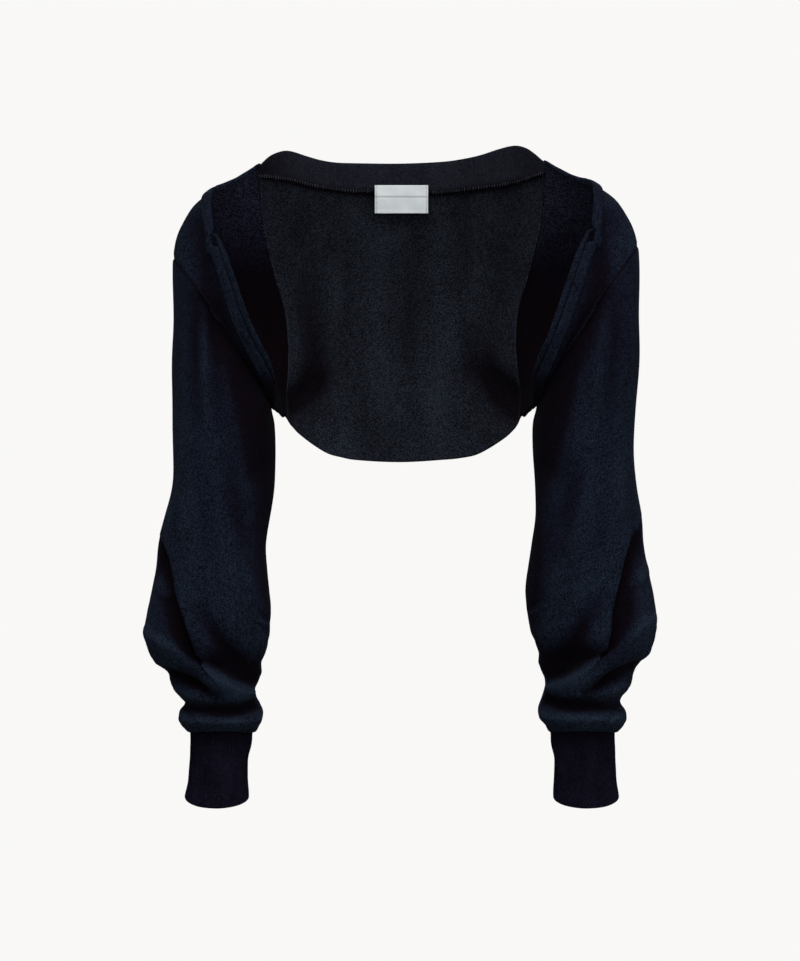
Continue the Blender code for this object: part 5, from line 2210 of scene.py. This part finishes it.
@dataclass
class Sleeve(SidePiece):
    """A sleeve from the armhole to the cuff, full at the elbow and gathered at the wrist."""

    columns: int = 240
    top_rows: int = 60
    low_rows: int = 200
    inner_step: int = 4
    settle: int = 60
    settle_rows: float = 22.0
    slack: Ripples = Ripples(61, 42.0, 0.7, (1.0, 1.0, 1.6))
    slack_hold: float = 12.0
    crumple: Ripples = Ripples(67, 13.0, 0.28)
    crumples_below: Pair = (380.0, 90.0)
    cuff_hold: float = 5.0
    cuff_dip: Triple = (0.0, 2.0, 0.8)
    underarm_bulge: Triple = (-211.0, 9.0, 3.2)
    bulge_round: Triple = (math.pi, 0.7, 1.0)
    inner_evened: int = 7
    upper_shade: float = 0.27
    lower_shade: float = 0.02
    shade_change: Pair = (150.0, 110.0)
    cuff_seam_shade: Triple = (0.0, 1.6, 0.8)
    cuff_roll_shade: Triple = (3.0, 3.4, 0.6)

    def grids(self) -> tuple[Array, Array]:
        """The sleeve without its folds.

        Returns:
            Outer points and outward directions.
        """
        angles = np.arange(self.columns) * (TURN / self.columns)
        hole, hole_out = self.side.armhole(angles)
        level, level_out = (g[0] for g in self.side.sleeve_rings(np.zeros(1), angles))
        share = np.linspace(0, 1, self.top_rows, endpoint=False)[:, None, None]
        out = unit(hole_out * (1 - share) + level_out * share)
        lift = SLEEVE_TOP_BULGE[self.side.column] * np.maximum(np.cos(angles), 0)[:, None]
        top = hole + (level - hole) * share + level_out * lift * 4 * share * (1 - share)
        low, low_out = self.side.sleeve_rings(np.linspace(0, 1, self.low_rows), angles)
        grid, outward = np.concatenate((top, low)), np.concatenate((out, low_out))
        settled = grid.copy()
        for _ in range(self.settle):
            settled[1:-1] += (settled[2:] + settled[:-2] - 2 * settled[1:-1]) / 4
        rows = np.arange(len(grid))[:, None, None]
        near = bump(rows, self.top_rows, self.settle_rows)
        return grid + (settled - grid) * near, outward

    def make(self) -> None:
        grid, outward = self.grids()
        seam_edge(grid[0], grid[1], -ARMHOLE_REACH)
        angles = np.arange(self.columns) * (TURN / self.columns)
        facing = np.broadcast_to(np.sin(angles), grid.shape[:2])
        relief, hang, whole = CREASES[self.side.name].at(grid, facing)
        from_seam = walked(grid)
        to_cuff = from_seam[-1] - from_seam
        slack = (self.slack.at(grid)
                 + self.crumple.at(grid) * ramp(-grid[..., 2], *self.crumples_below))
        inward = loosened(from_seam) * ease(to_cuff / self.cuff_hold)
        relief = (relief + slack * ease(to_cuff / self.slack_hold)) * inward
        dip = dipped(from_seam) + bump(to_cuff, *self.cuff_dip)
        dip = dip - bump(grid[..., 2], *self.underarm_bulge) * bump(angles, *self.bulge_round)
        outer = grid + outward * (relief - dip)[..., None]
        outer[..., ::2] += hang * inward[..., None]
        under = np.minimum(relief, 0)
        for _ in range(self.inner_evened):
            under = np.minimum(under, np.minimum(np.roll(under, 1, 1), np.roll(under, -1, 1)))
            under[1:-1] = np.minimum(under[1:-1], np.minimum(under[2:], under[:-2]))
        inner = grid + outward * (under - CLOTH_WALL - dip)[..., None]
        inner[0] += unit(inner[0] - inner[1]) * ARMHOLE_LAP - outward[0]
        picked = np.unique(np.r_[0:len(grid):self.inner_step, len(grid) - 1])
        # painted shade in the folds, and a painted highlight on their crests
        hollow = np.clip(-whole / SHADE_DEPTH, -PAINTED_CREST_HIGHLIGHT, 1)
        inner_side = read_at(INNER_SIDE, np.clip(grid[..., 2], INNER_SIDE[0][0],
                                                 INNER_SIDE[-1][0]))
        inner_side_shade = ease((inner_side[..., 1] - grid[..., 0]) / INNER_SIDE_FADE + 0.5)
        # more painted shade: broad and darker high up, at both seams, on the inner side, under
        # the roll
        usual = self.upper_shade + (self.lower_shade - self.upper_shade) * ramp(
            -grid[..., 2], *self.shade_change)
        hollow = shaded(hollow, usual, bell(from_seam / SEAM_SHADE),
                        bump(to_cuff, *self.cuff_seam_shade), inner_side_shade * inner_side[..., 2],
                        bump(to_cuff, *self.cuff_roll_shade))
        piece = Wall(self.side.placed(outer), self.side.placed(inner[picked]), True,
                     hollow).make(f"sleeve_cloth_{self.side.name}", self.finishes.outside,
                                  self.finishes.brushed)
        name = self.side.name
        dress(piece, f"sleeve_{name}",
              Cut((0.46, 0.50), Held.GATHERED, (f"shoulder_{name}", f"cuff_{name}"), 0.145))


@dataclass
class Cuff(SidePiece):
    """A rib cuff, its fine ribs raised over a plain inside."""

    ribs: int = 92
    rib_columns: int = 4
    rows: int = 36
    rib_relief: float = 0.22
    end_round: float = 0.8
    top_shade: float = 0.7
    top_shade_reach: float = 0.2
    slack: Ripples = Ripples(71, 18.0, 0.3)
    slack_from: float = 0.15

    def make(self) -> None:
        count = self.ribs * self.rib_columns
        angles = (np.arange(count) * (TURN / count))[None, :]
        places = np.linspace(0, 1, self.rows)[:, None]
        rows = read_rows(CUFF_SECTIONS, places)
        middle, half = (rows[..., 1], rows[..., 2]) if self.side.sign < 0 else \
            (rows[..., 3], rows[..., 4])
        cos, sin = np.cos(angles), np.sin(angles)
        rise = SLEEVE_HEM_RISE * sin**2 * bell(places / CUFF_RISE_FADE)
        centre = together(middle, rows[..., 6], rows[..., 0] - rows[..., 7] * sin + rise)
        way = together(cos, -sin, 0)
        reach = together(half, rows[..., 5], 0)
        rib = self.rib_relief * (np.cos(angles * self.ribs) - 1)
        rough = centre + way * reach
        slack = self.slack.at(rough) * ease(places / self.slack_from)
        outer = rough + way * (rib + slack)[..., None]
        inner = centre + way * (reach - RIB_WALL + slack[..., None])
        under = np.broadcast_to(bell(places / self.top_shade_reach),
                                outer.shape[:2]) * self.top_shade
        wall = Wall(self.side.placed(outer), self.side.placed(inner), True, under)
        wall.round_end(self.end_round)
        name = self.side.name
        piece = wall.make(f"rib_cuff_{name}", self.finishes.cuff, self.finishes.cuff)
        dress(piece, f"cuff_{name}",
              Cut((0.19, 0.066), Held.STRETCHED, (f"sleeve_{name}",)))


# ---- studio

@dataclass(frozen=True)
class SoftBox:
    """A large square soft light, in metres and watts, turned to the point that it aims at."""

    name: str
    place: Triple
    aim: Triple
    width: float
    power: float

    def make(self) -> None:
        """Add the light."""
        data = bpy.data.lights.new(self.name, "AREA")
        data.shape, data.size, data.energy = "SQUARE", self.width, self.power
        light = added(self.name, data)
        light.location = self.place
        way = Vector(self.aim) - Vector(self.place)
        light.rotation_euler = way.to_track_quat("-Z", "Y").to_euler()
        light.visible_camera = False


@dataclass
class Studio:
    """The camera, the soft lights and the pale backdrop."""

    distance: float = 5.0
    elevation: float = 4.0
    aim: Triple = (-0.0015, 0.0, -0.2905)
    sensor: float = 36.0
    lens: float = 187.3
    floor_height: float = -2.0
    floor_radius: float = 7.5
    wall_radius: float = 10.5
    wall_height: float = 9.0
    sky: float = 0.24
    lights: tuple[SoftBox, ...] = (
        SoftBox("key_above_front", (-0.3, -2.2, 3.3), (0.0, 0.0, -0.2), 2.2, 185.0),
        SoftBox("fill_front", (0.6, -4.6, 0.2), (0.0, 0.0, -0.3), 3.0, 68.0),
        SoftBox("side_right", (-2.8, -1.4, -1.4), (0.0, 0.0, -0.5), 1.6, 16.0),
        SoftBox("side_left", (3.1, -1.2, -0.2), (0.0, 0.0, -0.35), 1.8, 44.0),
        SoftBox("back_above", (0.3, 3.2, 2.6), (0.0, 0.0, -0.2), 2.6, 110.0),
    )

    def make_camera(self) -> None:
        """Add the camera."""
        data = bpy.data.cameras.new("camera")
        data.sensor_width, data.lens = self.sensor, self.lens
        camera = added("camera", data)
        tilt = math.radians(self.elevation)
        camera.location = (self.aim[0], -self.distance * math.cos(tilt),
                           self.aim[2] + self.distance * math.sin(tilt))
        camera.rotation_euler = (math.pi / 2 - tilt, 0.0, 0.0)
        bpy.context.scene.camera = camera

    def make_backdrop(self) -> None:
        """Add a round floor that curves up into a wall on every side."""
        turns = np.radians(np.linspace(0, 90, 13))
        bend = self.wall_radius - self.floor_radius
        radius = np.concatenate(([0.01, 2.5, 5.0], self.floor_radius + bend * np.sin(turns),
                                 [self.wall_radius]))
        height = self.floor_height + np.concatenate(
            ([0.0, 0.0, 0.0], bend * (1 - np.cos(turns)), [self.wall_height]))
        angles = np.arange(96) * (TURN / 96)
        rings = together(radius[:, None] * np.cos(angles), radius[:, None] * np.sin(angles),
                         height[:, None])
        parts = MeshParts()
        index = wrapped(parts.add_points(rings / MM))
        parts.add_quads(index, np.zeros((*index.shape, 2)), 0, False)
        backdrop = parts.make("studio_floor", (StageFinish().make(),))
        backdrop.visible_diffuse = backdrop.visible_glossy = backdrop.visible_shadow = False

    def make_sky(self) -> None:
        """Light the whole studio evenly."""
        world = bpy.data.worlds.new("studio_sky")
        bpy.context.scene.world = world
        world.use_nodes = True
        shade = world.node_tree.nodes["Background"]
        shade.inputs["Color"].default_value = rgba((1.0, 1.0, 1.0))
        shade.inputs["Strength"].default_value = self.sky
        bpy.context.scene.view_settings.view_transform = "Standard"

    def make(self) -> None:
        """Set up the studio."""
        self.make_camera()
        self.make_backdrop()
        self.make_sky()
        for light in self.lights:
            light.make()


def main() -> None:
    """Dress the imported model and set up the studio."""
    logging.basicConfig(level=logging.INFO, format="%(name)s: %(message)s")
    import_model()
    Studio().make()
    finishes = Wardrobe()
    pieces = [kind(finishes) for kind in (BackPanel, Neckband, Label)]
    pieces += [kind(finishes, side) for side in SIDES
               for kind in (ShoulderPiece, EdgeStrips, Sleeve, Cuff)]
    for piece in pieces:
        piece.make()


if __name__ == "__main__":
    main()
